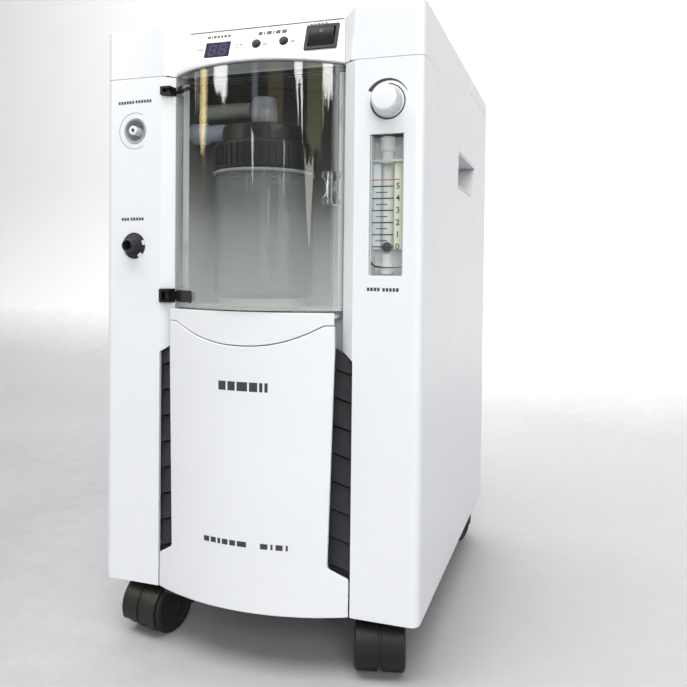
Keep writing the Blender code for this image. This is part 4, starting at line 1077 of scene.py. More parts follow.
def humidifier():
    place = (*JAR, 0)
    r, low = JAR_RADIUS, JAR_LOW
    jar = [(0, low), (r - 0.004, low), (r, low + 0.004), (r, CAP_LOW - 0.0045), (r - 0.0025, CAP_LOW - 0.002),
           (r - 0.0025, CAP_HIGH - 0.0035), (r - 0.0050, CAP_HIGH - 0.0035), (r - 0.0050, CAP_LOW - 0.004),
           (r - 0.0020, CAP_LOW - 0.0075), (r - 0.0020, low + 0.005), (r - 0.005, low + 0.0025), (0, low + 0.0025)]
    show(add("bottle", turned(softened(jar, 0.003, 6), 96, "Z", place), JAR_CLEAR), "cabinet", "humidifier_jar",
         slot="clear_plastic", edge=0)
    # The real lip under the cap, coloured light grey as a painted highlight.
    lip = [(r - 0.0010, CAP_LOW - 0.0042), (r + 0.0012, CAP_LOW - 0.0036), (r + 0.0016, CAP_LOW - 0.0022),
           (r + 0.0006, CAP_LOW - 0.0012), (r - 0.0015, CAP_LOW - 0.0012)]
    show(add("bottle_lip_painted_highlight", turned(lip, 96, "Z", place, closed=True), LIP_GREY_PAINTED_HIGHLIGHT), "cabinet", edge=0)
    cap = [(0, CAP_HIGH - 0.0030), (r - 0.0020, CAP_HIGH - 0.0030), (r - 0.0020, CAP_LOW),
           (CAP_RADIUS - 0.0009, CAP_LOW),
           (CAP_RADIUS - 0.0009, CAP_LOW + 0.0020), (CAP_RADIUS - 0.0016, CAP_LOW + 0.0024),
           (CAP_RADIUS - 0.0016, CAP_HIGH - 0.0030), (CAP_RADIUS - 0.0024, CAP_HIGH - 0.0005),
           (CAP_RADIUS - 0.0036, CAP_HIGH), (0.0385, CAP_HIGH), (0.0380, NECK_HIGH - 0.0015), (0.0365, NECK_HIGH),
           (0.0080, NECK_HIGH), (0.0080, NECK_HIGH + 0.0046), (0, NECK_HIGH + 0.0046)]
    piece = add("bottle_cap", turned(softened(cap, 0.0008, 4), 96, "Z", place), BLACK)
    show(piece, "cabinet", "humidifier_cap", slot="black_plastic", edge=0)
    grips = bmesh.new()
    for i in range(48):
        turn = Matrix.Translation((*JAR, 0)) @ Matrix.Rotation(2 * math.pi * i / 48, 4, "Z")
        bar = block((CAP_RADIUS - 0.0020, -0.0009, CAP_LOW + 0.0026), (CAP_RADIUS - 0.0004, 0.0009, CAP_HIGH - 0.0035))
        bmesh.ops.transform(bar, matrix=turn, verts=bar.verts)
        mesh = bpy.data.meshes.new("grip")
        bar.to_mesh(mesh)
        bar.free()
        grips.from_mesh(mesh)
        bpy.data.meshes.remove(mesh)
    show(add("cap_grips", grips, BLACK), "cabinet", edge=0.0003)
    low = NECK_HIGH + 0.0049
    nut = ridged(0.0122, [(0.95, low, False), (1.0, low + 0.0008, True), (1.0, low + 0.0138, True),
                          (0.93, low + 0.0150, False), (0.915, low + 0.0156, False), (0.915, low + 0.0222, False),
                          (0.83, low + 0.0232, False)], 20, 0.0006)
    show(add("coupling_nut", loft(nut), NUT_GREY, None, place), "cabinet", "inlet_nut", slot="light_grey_plastic",
         edge=0)
    dip = CAP_HIGH - 0.0033
    stem = [(0, dip), (0.0040, dip), (0.0040, 0.3480), (0.0070, 0.3460), (0.0070, 0.3330), (0.0060, 0.3310),
            (0, 0.3310)]
    show(add("dip_tube", turned(softened(stem), 48, "Z", place), SPOUT_CLEAR), "cabinet", "bubbler_tube",
         slot="clear_plastic", edge=0)
    wall = -0.0788 - JAR[0]
    spout = [(0, wall + 0.0002), (0.0100, wall + 0.0002), (0.0100, wall + 0.0165), (0.0078, wall + 0.0185),
             (0.0078, -0.0384), (0, -0.0384)]
    show(add("spout", turned(softened(spout, 0.0010), 48, "X", (JAR[0], JAR[1], SPOUT_HEIGHT)), SPOUT_CLEAR), "cabinet",
         "outlet_spout", slot="clear_plastic", edge=0)


def inlet_tube():
    z = INLET_HEIGHT
    start = JAR[0] - 0.0128
    route = [(start, JAR[1], z), (start - 0.010, JAR[1], z)]
    route += blended([(-0.0580, JAR[1], z), (-0.0655, JAR[1], z), (-0.066, JAR[1] + 0.0035, z),
                      (-0.066, JAR[1] + 0.0090, z)], 24)
    route += [(-0.066, -0.145, z)]
    route += [(-0.066, -0.120, z), (-0.066, -0.098, z)]
    show(add("gas_tube", swept(route, 0.0069, 32), TUBE_GREY), "cabinet", "inlet_tube", slot="light_grey_plastic",
         edge=0)


# ---- front covers ----
def wave(x):
    share = min(1.0, abs(x) / 0.070)
    return BOTTOM + 0.2274 + 0.0186 * share ** 2.2


def apron_band(low, high, half):
    outer = bowed(APRON_CENTRE, APRON_RADIUS, half, 72)
    inner = bowed(APRON_CENTRE, APRON_RADIUS - APRON_THICK, half * (1 - APRON_THICK / APRON_RADIUS), 72)
    return prism(outer + inner[::-1], low, high)


def wave_points(half, shift, steps=64):
    found = []
    for i in range(steps + 1):
        x = -half + 2 * half * i / steps
        found.append((x, wave(x) + shift))
    return found


def lower_panel():
    piece = add("front_cover", apron_band(BOTTOM, 0.315, COLUMN_EDGE - 0.0007), WHITE)
    corner = arc((0.0795, BOTTOM + 0.0445), 0.0050, -115, -180, 10)
    right = [(0.0950, BOTTOM - 0.005), (0.0950, BOTTOM + 0.0292)] + corner + [(0.0787, BOTTOM + 0.2250)]
    top = wave_points(0.0784, -0.0005)
    outline = right + top[::-1] + [(-x, z) for x, z in reversed(right)]
    keep(piece, prism(outline, -0.25, -0.15, "Y"))
    show(piece, "cabinet", "lower_panel", slot="white_abs", edge=0.0009, segments=3)


def door_sill():
    piece = add("sill", apron_band(0.265, LEDGE, 0.0784), WHITE)
    keep(piece, prism(wave_points(0.0784, 0.0004) + [(0.0784, 0.32), (-0.0784, 0.32)], -0.25, -0.15, "Y"))
    shelf = bowed(APRON_CENTRE, APRON_RADIUS - 0.0012, 0.0765) + [(0.0765, -0.1725), (-0.0765, -0.1725)]
    join(piece, prism(shelf, LEDGE - 0.0050, LEDGE - 0.0022))
    show(piece, "cabinet", "door_sill", slot="white_abs", edge=0.0008, segments=3)


def vent_grille(side):
    pitch, tilt = 0.024, -math.tan(math.radians(15))
    proud, recessed, rear = -0.1916, -0.1886, -0.1845
    levels = 10
    start = VENT_LOW - 0.0140
    profile = []
    for i in range(levels):
        z = start + pitch * i
        profile += [(proud, z), (recessed, z + pitch - 0.0002)]
    profile += [(rear, start + pitch * levels), (rear, start)]
    rise = -tilt * 0.078
    slats = sloped(prism(profile, 0.068, 0.100, "X"), tilt)
    slits = bmesh.new()
    for i in range(levels):
        z = start + pitch * i
        block((0.0745, -0.20, z - 0.0018), (0.0905, -0.18, z - 0.0008), slits)
    sloped(slits, tilt)
    for shape in (slats, slits):
        bmesh.ops.translate(shape, verts=shape.verts, vec=(0, 0, rise))
    slope = (VENT_PEAK - VENT_HIGH) / (COLUMN_EDGE - 0.0780)
    peak_z = VENT_HIGH - GAP + slope * (COLUMN_EDGE - 0.0712)
    outline = [(0.0712, VENT_LOW - 0.003), (0.0972, VENT_LOW - 0.003), (0.0972, VENT_HIGH - 0.0012),
               (COLUMN_EDGE, VENT_HIGH - 0.0012), (0.0712, peak_z - 0.0012)]
    frame_outline = prism(outline, -0.21, -0.17, "Y")
    if side < 0:
        for shape in (slats, slits, frame_outline):
            mirrored(shape)
    place = "left" if side < 0 else "right"
    piece = add(f"air_louvre_{place}", slats, CHARCOAL)
    keep(piece, frame_outline)
    cut(piece, slits)
    show(piece, "cabinet", f"vent_grille_{place}", slot="charcoal_plastic", edge=0.0004)


def cord_hook(side):
    outline = [(0.112, BACK + GAP), (0.138, BACK + GAP), (0.138, BACK + 0.0036), (0.1285, BACK + 0.0042),
               (0.1275, REACH - 0.0060), (0.1460, REACH - 0.0046), (0.1470, REACH - 0.0014), (0.1450, REACH),
               (0.1240, REACH), (0.1215, REACH - 0.0020), (0.1205, BACK + 0.0042), (0.112, BACK + 0.0036)]
    shape = prism(outline, 0.301, 0.323)
    if side < 0:
        mirrored(shape)
    place = "left" if side < 0 else "right"
    show(add(f"cable_cleat_{place}", shape, BLACK), "cabinet", f"cord_hook_{place}", slot="black_plastic",
         edge=0.0008, segments=3)


# ---- printing on the front ----
def ring_print(centre, radius, start, end, widths, y=FRONT):
    """A printed arc in the plane of the front, with its width changing along it."""
    steps = 72
    outer, inner = [], []
    for i in range(steps + 1):
        t = i / steps
        angle = math.radians(start + (end - start) * t)
        half = (widths[0] + (widths[1] - widths[0]) * t) / 2
        for found, r in ((outer, radius + half), (inner, radius - half)):
            found.append((centre[0] + r * math.cos(angle), centre[1] + r * math.sin(angle)))
    return prism(outer + inner[::-1], y - 0.00008, y + 0.00010, "Y")


def bar_row(shape, x, z, widths, height, gap, y):
    for width in widths:
        block((x, y - 0.00008, z), (x + width, y + 0.00010, z + height), shape)
        x += width + gap


def front_marks():
    """Rings round the outlet and the knob, and plain bars where the photograph has small words."""
    x, z = OXYGEN_PORT
    show(add("outlet_ring_print", ring_print((x, z), 0.0165, 60, 302, (0.0007, 0.0007)), GREY_INK), "cabinet", edge=0)
    x, z = KNOB
    show(add("knob_arc_print", ring_print((x, z), 0.0178, 150, 26, (0.0036, 0.0005)), INK), "cabinet", edge=0)
    show(add("knob_ring_print", ring_print((x, z), 0.0142, 90, -250, (0.0009, 0.0019)), INK), "cabinet", edge=0)
    shape = bmesh.new()
    letters = [0.0021, 0.0023, 0.0022, 0.0021, 0.0023, 0.0022]
    bar_row(shape, OXYGEN_PORT[0] - 0.0178, OXYGEN_PORT[1] + 0.0248, letters[:3], 0.0027, 0.0007, FRONT)
    bar_row(shape, OXYGEN_PORT[0] - 0.0090, OXYGEN_PORT[1] + 0.0250, letters[:3], 0.0027, 0.0007, FRONT)
    bar_row(shape, OXYGEN_PORT[0] + 0.0006, OXYGEN_PORT[1] + 0.0253, letters, 0.0027, 0.0007, FRONT)
    bar_row(shape, NEBULISER_PORT[0] - 0.0132, NEBULISER_PORT[1] + 0.0232, letters[:3], 0.0027, 0.0007, FRONT)
    bar_row(shape, NEBULISER_PORT[0] - 0.0035, NEBULISER_PORT[1] + 0.0234, letters[:5], 0.0027, 0.0007, FRONT)
    left = METER_SIDES[0] - 0.0010
    bar_row(shape, left, METER_LOW - 0.0129, letters[:4], 0.0029, 0.0007, FRONT)
    bar_row(shape, left + 0.0132, METER_LOW - 0.0131, letters[:5], 0.0029, 0.0007, FRONT)
    show(add("front_label_bars", shape, INK), "cabinet", edge=0)


def apron_marks():
    """Two rows of plain rounded bars on the lower panel; no word and no number is made."""
    rows = [(-0.0215, 0.2440, 0.0078, [0.0072, 0.0070, 0.0098, 0.0074, 0.0028, 0.0028], 0.0018),
            (-0.0355, 0.1110, 0.0046, [0.0056, 0.0052, 0.0028, 0.0056, 0.0056, 0.0086], 0.0017),
            (0.0190, 0.1110, 0.0046, [0.0066, 0.0018, 0.0060, 0.0018], 0.0026)]
    shape = bmesh.new()
    for x, z, height, widths, gap in rows:
        for width in widths:
            outline = bow_band(APRON_CENTRE, APRON_RADIUS + 0.00012, APRON_RADIUS - 0.0002, x, x + width, 4)
            prism(outline, z, z + height, "Z", shape)
            x += width + gap
    show(add("panel_bars", shape, INK), "cabinet", edge=0)


# ---- outlets and flow control ----
def oxygen_outlet():
    x, z = OXYGEN_PORT
    centre = (x, 0, z)
    rim = [(0.0104, FRONT - 0.0006), (0.0112, FRONT - 0.0006), (0.0112, -0.1830), (0.0046, -0.1830),
           (0.0046, -0.1868), (0.0090, -0.1880), (0.0098, FRONT - 0.0002)]
    show(add("outlet_cup", turned(rim, 64, "Y", centre, closed=True), LIGHT_GREY), "cabinet", "oxygen_bezel",
         slot="light_grey_plastic", edge=0)
    barb = [(0.0018, -0.1990), (0.0021, -0.1994), (0.0036, -0.1994), (0.0041, -0.1989), (0.0042, -0.1972),
            (0.0040, -0.1966), (0.0034, -0.1950), (0.0041, -0.1925), (0.0040, -0.1920), (0.0034, -0.1900),
            (0.0042, -0.1885), (0.0042, -0.1756), (0.0018, -0.1756)]
    show(add("hose_barb", turned(barb, 48, "Y", centre, closed=True), WHITE), "cabinet", "oxygen_barb",
         slot="white_abs", edge=0)
    show(add("barb_bore", cylinder(0.0017, -0.1984, -0.1970, "Y", centre, 32), INK), "cabinet", edge=0)


def nebuliser_outlet():
    x, z = NEBULISER_PORT
    centre = (x, 0, z)
    profile = [(0.0042, -0.2060), (0.0046, -0.2068), (0.0052, -0.2068), (0.0060, -0.2050), (0.0063, -0.1975),
               (0.0070, -0.1972), (0.0074, -0.1950), (0.0110, -0.1946), (0.0116, -0.1941), (0.0116, -0.1900),
               (0.0080, -0.1850), (0.0080, -0.1720), (0.0042, -0.1720)]
    piece = add("nebuliser_fitting", turned(profile, 64, "Y", centre, closed=True), CHARCOAL)
    keys, lugs = bmesh.new(), bmesh.new()
    for angle in (17, -55, 180):
        turn = Matrix.Translation(centre) @ Matrix.Rotation(math.radians(-angle), 4, "Y")
        for target, inner, half, rear in ((keys, 0.0084, 0.0024, -0.1893), (lugs, 0.0088, 0.0021, -0.1897)):
            front, outer = (-0.20, 0.0140) if target is keys else (-0.1953, 0.0118)
            key = block((inner, front, -half), (outer, rear, half))
            bmesh.ops.transform(key, matrix=turn, verts=key.verts)
            mesh = bpy.data.meshes.new("key")
            key.to_mesh(mesh)
            key.free()
            target.from_mesh(mesh)
            bpy.data.meshes.remove(mesh)
    show(add("nebuliser_lugs", lugs, WHITE), "cabinet", edge=0.0002)
    cut(piece, keys)
    show(piece, "cabinet", "nebuliser_outlet", slot="charcoal_plastic", edge=0.0003)


def digit(text, size, centre):
    """One figure of the flow scale as a flat solid, facing -Y."""
    curve = bpy.data.curves.new("figure", "FONT")
    curve.body = text
    curve.size = size
    curve.extrude = 0.00004
    curve.offset = 0.00012
    curve.align_x = "CENTER"
    curve.align_y = "CENTER"
    figure = bpy.data.objects.new("figure", curve)
    bpy.context.scene.collection.objects.link(figure)
    bpy.context.view_layer.update()
    mesh = bpy.data.meshes.new_from_object(figure)
    bpy.data.objects.remove(figure, do_unlink=True)
    mesh.transform(Matrix.Translation(centre) @ Matrix.Rotation(math.pi / 2, 4, "X"))
    return mesh


def flowmeter():
    x0, x1 = METER_SIDES[0] + GAP, METER_SIDES[1] - GAP
    low, high = METER_LOW + GAP, METER_HIGH - GAP
    body = add("meter_block", block((x0, -0.1945, low), (x1, -0.1932, high)), METER_CLEAR)
    show(body, "cabinet", "flowmeter_body", slot="clear_plastic", edge=0.0004)
    housing = block((x0, -0.1803, low), (x1, -0.1790, high))
    for wall in (x0, x1 - 0.0009):
        block((wall, -0.1931, low), (wall + 0.0009, -0.1804, high), housing)
    show(add("meter_housing", housing, METER_BACK), "cabinet", edge=0)
    inner, outer, channel = x0 + 0.0010, x1 - 0.0010, 0.0060
    left, right = x0 + 0.0012, x1 - 0.0012
    sweep = [(left, low + 0.0118), (x0 + 0.0045, low + 0.0082), (BORE_X, low + 0.0067), (right, low + 0.0071),
             (right, low + 0.0064), (BORE_X, low + 0.0057), (x0 + 0.0045, low + 0.0062), (left, low + 0.0086)]
    show(add("meter_gasket", prism(sweep, -0.1931, -0.1927, "Y"), BLACK), "cabinet", edge=0)
    card = [(inner, -0.1806), (inner, BORE_Y)] + arc((BORE_X, BORE_Y), channel, 180, 0, 32)
    card += [(outer, BORE_Y), (outer, -0.1806)]
    show(add("meter_card", prism(card, low + 0.0217, high - 0.0225), CARD), "cabinet", edge=0)
    figures = bmesh.new()
    step = (FULL_FLOW - FLOAT_LOW) / 5
    for i in range(11):
        z = FLOAT_LOW + step * i / 2
        ends = (0.1080, 0.1262) if i % 2 == 0 else (0.1112, 0.1212)
        tall = 0.00055 if i % 2 == 0 else 0.00040
        block((ends[0], -0.19462, z - tall), (ends[1], -0.19442, z + tall), figures)
    for i in range(6):
        mesh = digit(str(i), 0.0068, (0.1298, -0.19452, FLOAT_LOW + step * i))
        figures.from_mesh(mesh)
        bpy.data.meshes.remove(mesh)
    show(add("meter_figures", figures, INK), "cabinet", edge=0)
    red = block((0.1072, -0.19462, RED_LINE - 0.00045), (0.1310, -0.19442, RED_LINE + 0.00045))
    show(add("meter_red_line", red, RED_INK), "cabinet", edge=0)
    mouth = METER_HIGH - 0.0237
    for side, turn in (("left", 180), ("right", 0)):
        wall = arc((BORE_X, BORE_Y), 0.0047, turn - 34, turn + 34, 12)
        wall += arc((BORE_X, BORE_Y), 0.0053, turn + 34, turn - 34, 12)
        show(add(f"meter_bore_{side}", prism(wall, METER_LOW + 0.0195, mouth), METER_GLASS), "cabinet", edge=0)
    top = METER_HIGH - 0.0012
    roof = top - 0.0043
    cap = [(0, roof), (0.0047, roof), (0.0047, mouth + 0.0002), (0.0055, mouth + 0.0002), (0.0055, top - 0.0130),
           (0.0066, top - 0.0120), (0.0066, top - 0.0012), (0.0058, top), (0, top)]
    show(add("meter_top_fitting", turned(softened(cap, 0.0004), 48, "Z", (BORE_X, BORE_Y, 0)), METER_FITTING),
         "cabinet", edge=0)
    plate = block((x0 + 0.0011, -0.1926, METER_HIGH - 0.0222), (x1 - 0.0011, -0.1806, METER_HIGH - 0.0206))
    shelf = add("meter_shelf", plate, METER_FITTING)
    cut(shelf, cylinder(0.0057, METER_HIGH - 0.03, METER_HIGH - 0.01, "Z", (BORE_X, BORE_Y, 0), 48))
    show(shelf, "cabinet", edge=0)
    base = METER_LOW + 0.0010
    seat = [(0, base), (0.0056, base), (0.0056, base + 0.0045), (0.0052, base + 0.0075), (0.0043, base + 0.0100),
            (0.0043, base + 0.0165), (0, base + 0.0170)]
    show(add("meter_bottom_fitting", turned(softened(seat, 0.0008), 48, "Z", (BORE_X, BORE_Y, 0)), METER_FITTING),
         "cabinet", edge=0)
    ball = [(0.0042 * math.sin(math.pi * i / 24), -0.0042 * math.cos(math.pi * i / 24)) for i in range(25)]
    ball[0], ball[-1] = (0, -0.0042), (0, 0.0042)
    show(add("flow_ball", turned(ball, 48, "Z", (BORE_X, BORE_Y, FLOAT_LOW)), BLACK), "float", "flow_float",
         slot="black_plastic", edge=0, smooth_below=80)


def flow_knob():
    x, z = KNOB
    teeth = 36
    rings = []
    for radius, y, ridge in ((0.0118, -0.1960, 0.0), (0.0123, -0.1965, 0.0008), (0.0120, -0.1985, 0.0008),
                             (0.0110, -0.2072, 0.0008), (0.0107, -0.2088, 0.0002), (0.0102, -0.2097, 0.0),
                             (0.0096, -0.2103, 0.0), (0.0086, -0.2105, 0.0)):
        ring = []
        for i in range(teeth * 4):
            angle = 2 * math.pi * i / (teeth * 4)
            r = radius + ridge * math.cos(teeth * angle) * 0.9
            ring.append((x + r * math.cos(angle), z + r * math.sin(angle)))
        rings.append((ring, y))
    piece = add("knob_cap", loft(rings, "Y"), WHITE)
    show(piece, "knob", "flow_knob", slot="white_abs", edge=0, smooth_below=50)
    show(add("knob_stem", cylinder(0.0030, -0.2000, -0.1800, "Y", (x, 0, z), 32), WHITE), "knob", edge=0)


# ---- casters ----
def caster(name, yaw):
    side = -1 if "left" in name else 1
    end = -1 if "front" in name else 1
    pivot = empty(f"caster_pivot_{name}", (side * STEM_X, end * STEM_Y, 0), (0, 0, math.radians(yaw)))
    axle = (-TRAIL, WHEEL_RADIUS)
    half, inner, outer = 0.0205, WHEEL_RADIUS + 0.0012, WHEEL_RADIUS + 0.0036
    hood = add(f"twin_caster_hood_{name}", prism(arc(axle, outer, 202, -14, 48) + [axle], -half, half, "X"),
               CASTER_BLACK, pivot)
    join(hood, cylinder(0.0110, 0.0380, 0.0525, "Z", (0, 0, 0), 48))
    cut(hood, cylinder(inner, -0.030, 0.030, "X", (0, *axle), 96))
    groove = bmesh.new()
    for start, end in ((60, -20), (210, 120)):
        outline = arc(axle, outer + 0.002, start, end, 24) + arc(axle, outer - 0.0010, end, start, 24)
        prism(outline, -0.0012, 0.0012, "X", groove)
    cut(hood, groove)
    core = bmesh.new()
    prism(arc(axle, inner + 0.0008, 200, -12, 32) + arc(axle, 0.0060, -60, -120, 6), -0.0020, 0.0020, "X", core)
    show(add(f"twin_caster_web_{name}", core, CASTER_BLACK, pivot), f"swivel_{name}", edge=0.0003)
    stem = add(f"twin_caster_stem_{name}", cylinder(0.0050, 0.0500, 0.0720, "Z", (0, 0, 0), 32), CASTER_BLACK, pivot)
    show(stem, f"swivel_{name}", edge=0.0004)
    show(hood, f"swivel_{name}", f"caster_hood_{name}", slot="black_plastic", edge=0.0006, segments=3)
    r = WHEEL_RADIUS
    rim = [(0, -0.0204), (0.0050, -0.0204), (0.0062, -0.0212), (0.0160, -0.0210), (0.0172, -0.0218),
           (r - 0.0040, -0.0220), (r - 0.0012, -0.0212), (r, -0.0196), (r, -0.0030), (r - 0.0008, -0.0026),
           (0.0032, -0.0026)]
    rim += [(radius, -level) for radius, level in reversed(rim)]
    wheels = add(f"caster_rollers_{name}", turned(softened(rim, 0.0006, 2), 96, "X"), TYRE_BLACK, pivot, (0, *axle))
    show(wheels, f"wheels_{name}", f"caster_wheels_{name}", slot="wheel_black", edge=0)
    bpy.data.objects.remove(pivot, do_unlink=True)


# ---- CAD pieces that keep their shape ----
def dress(node, finish, edge=0.0):
    """Gives a carried-over CAD piece its material, and rounds its edges with modifiers only."""
    piece = frame["nodes"][node]
    piece.data.materials.clear()
    piece.data.materials.append(finish)
    if edge:
        weld = piece.modifiers.new("Weld", "WELD")
        weld.merge_threshold = 0.00001
        bevel = piece.modifiers.new("Edges", "BEVEL")
        bevel.width = edge
        bevel.segments = 2
        bevel.limit_method = "ANGLE"
        bevel.angle_limit = math.radians(40)
        bevel.use_clamp_overlap = True


def dressed():
    finishes = {"rear_panel": (WHITE, 0.0), "filter_cover": (CHARCOAL, 0.0003), "intake_filter": (FOAM, 0.0),
                "exhaust_grille": (CHARCOAL, 0.0003), "power_inlet": (BLACK, 0.0002),
                "circuit_breaker": (BLACK, 0.0), "breaker_button": (WHITE, 0.0), "base_plate": (CHARCOAL, 0.0004),
                "compressor": (CAST, 0.0006), "fan_housing": (BLACK, 0.0003), "fan_rotor": (BLACK, 0.0),
                "sieve_bed_left": (DRAWN, 0.0), "sieve_bed_right": (DRAWN, 0.0), "valve_block": (CAST, 0.0005),
                "control_board": (BOARD, 0.0), "needle_valve": (LIGHT_GREY, 0.0)}
    for node, (finish, edge) in finishes.items():
        dress(node, finish, edge)


# ---- stage ----
def studio_floor():
    """A pale sheet that runs back and curves up into the backdrop. Its colour carries painted shade: darker at the
    front and to the left, lighter up the curve and towards the back.
    """
    look = Look("studio_paper", 0.62)
    split = look.node("ShaderNodeSeparateXYZ")
    look.link(look.place, split.inputs["Vector"])
    mottle = look.noise(34, 6.0, 0.62)
    cloud = look.noise(3.2, 3.0)
    speck = look.noise(260, 2.0)
    grain = look.node("ShaderNodeMath", operation="MULTIPLY_ADD")
    look.link(look.between(mottle, -0.045, 0.045, 0.25, 0.75), grain.inputs[0])
    grain.inputs[1].default_value = 1.0
    look.link(look.between(cloud, -0.035, 0.035, 0.25, 0.75), grain.inputs[2])
    fleck = look.node("ShaderNodeMath", operation="ADD")
    look.link(grain.outputs["Value"], fleck.inputs[0])
    look.link(look.between(speck, -0.02, 0.03, 0.3, 0.8), fleck.inputs[1])
    # Painted shade: these terms lighten the sheet up the curve and towards the back and darken it to the left, standing
    # in for how the lamps fall on it.
    rise = look.between(split.outputs["Z"], 0.0, 1.0, 0.0, 0.45)
    back = look.between(split.outputs["Y"], 0.25, 0.55, -0.30, 1.10)
    painted_shade_sum = look.node("ShaderNodeMath", operation="ADD")
    look.link(rise, painted_shade_sum.inputs[0])
    painted_left_shade = look.node("ShaderNodeMath", operation="ADD")
    look.link(look.between(split.outputs["X"], -0.30, 0.0, -0.45, 0.0), painted_left_shade.inputs[0])
    look.link(look.between(split.outputs["Z"], 0.0, 0.30, 0.0, 0.2), painted_left_shade.inputs[1])
    painted_depth_shade = look.node("ShaderNodeMath", operation="ADD")
    look.link(back, painted_depth_shade.inputs[0])
    look.link(painted_left_shade.outputs["Value"], painted_depth_shade.inputs[1])
    look.link(painted_depth_shade.outputs["Value"], painted_shade_sum.inputs[1])
    grain_and_painted_shade = look.node("ShaderNodeMath", operation="ADD")
    look.link(painted_shade_sum.outputs["Value"], grain_and_painted_shade.inputs[0])
    look.link(fleck.outputs["Value"], grain_and_painted_shade.inputs[1])
    painted_shade_tone = look.ramp(grain_and_painted_shade.outputs["Value"], [(0.0, (0.34, 0.34, 0.35)), (0.25, (0.49, 0.49, 0.50)),
                                              (0.50, (0.56, 0.56, 0.57)), (0.92, (0.86, 0.86, 0.86)),
                                              (1.0, (0.95, 0.95, 0.95))])
    look.link(painted_shade_tone, look.shader.inputs["Base Color"])
    look.bump(mottle, 0.0006)
    path = [(-2.2, 0.0), (0.9, 0.0)]
    path += [(0.9 + 0.7 * math.sin(math.radians(a)), 0.7 - 0.7 * math.cos(math.radians(a))) for a in range(6, 91, 6)]
    path += [(1.6, 3.0)]
    shape = bmesh.new()
    rows = [[shape.verts.new((x, y, z)) for x in (-4.5, 4.5)] for y, z in path]
    for lower, upper in zip(rows, rows[1:]):
        shape.faces.new((lower[0], lower[1], upper[1], upper[0]))
    sheet = add("studio_sheet", shape, look.material)
    sheet.data.shade_smooth()


def area_light(name, place, target, size, power, mirrored_in_gloss=True):
    lamp = bpy.data.lights.new(name, "AREA")
    lamp.shape = "RECTANGLE"
    lamp.size, lamp.size_y = size
    lamp.energy = power
    made = bpy.data.objects.new(name, lamp)
    bpy.context.scene.collection.objects.link(made)
    made.location = place
    made.visible_glossy = mirrored_in_gloss
    ahead = Vector(target) - Vector(place)
    made.rotation_euler = ahead.to_track_quat("-Z", "Y").to_euler()
    return made


def glowing(name, strength, colour, fade=None):
    """A light-giving card material; a fade makes it darker with height, between two levels."""
    finish = bpy.data.materials.new(name)
    finish.use_nodes = True
    tree = finish.node_tree
    tree.nodes.remove(tree.nodes["Principled BSDF"])
    glow = tree.nodes.new("ShaderNodeEmission")
    glow.inputs["Strength"].default_value = strength
    glow.inputs["Color"].default_value = (*colour, 1.0)
    if fade:
        place = tree.nodes.new("ShaderNodeTexCoord")
        split = tree.nodes.new("ShaderNodeSeparateXYZ")
        share = tree.nodes.new("ShaderNodeMapRange")
        ramp = tree.nodes.new("ShaderNodeValToRGB")
        share.inputs["From Min"].default_value, share.inputs["From Max"].default_value = fade
        ramp.color_ramp.elements[0].color = (*colour, 1.0)
        ramp.color_ramp.elements[1].color = (*shade(colour, 0.04), 1.0)
        ramp.color_ramp.interpolation = "EASE"
        tree.links.new(place.outputs["Object"], split.inputs["Vector"])
        tree.links.new(split.outputs["Z"], share.inputs["Value"])
        tree.links.new(share.outputs["Result"], ramp.inputs["Fac"])
        tree.links.new(ramp.outputs["Color"], glow.inputs["Color"])
    tree.links.new(glow.outputs["Emission"], tree.nodes["Material Output"].inputs["Surface"])
    return finish


def on_drum(turn, level, radius):
    """A point of the ring of cards, by its bearing from the front and its height."""
    angle = math.radians(turn - 90)
    return radius * math.cos(angle), radius * math.sin(angle), level


def mirror_card(name, finish, outlines, radius):
    shape = bmesh.new()
    for outline in outlines:
        shape.faces.new([shape.verts.new(on_drum(turn, level, radius)) for turn, level in outline])
    card = add(name, shape, finish)
    card.visible_camera = False
    card.visible_diffuse = False
    card.visible_shadow = False
    card.visible_transmission = False


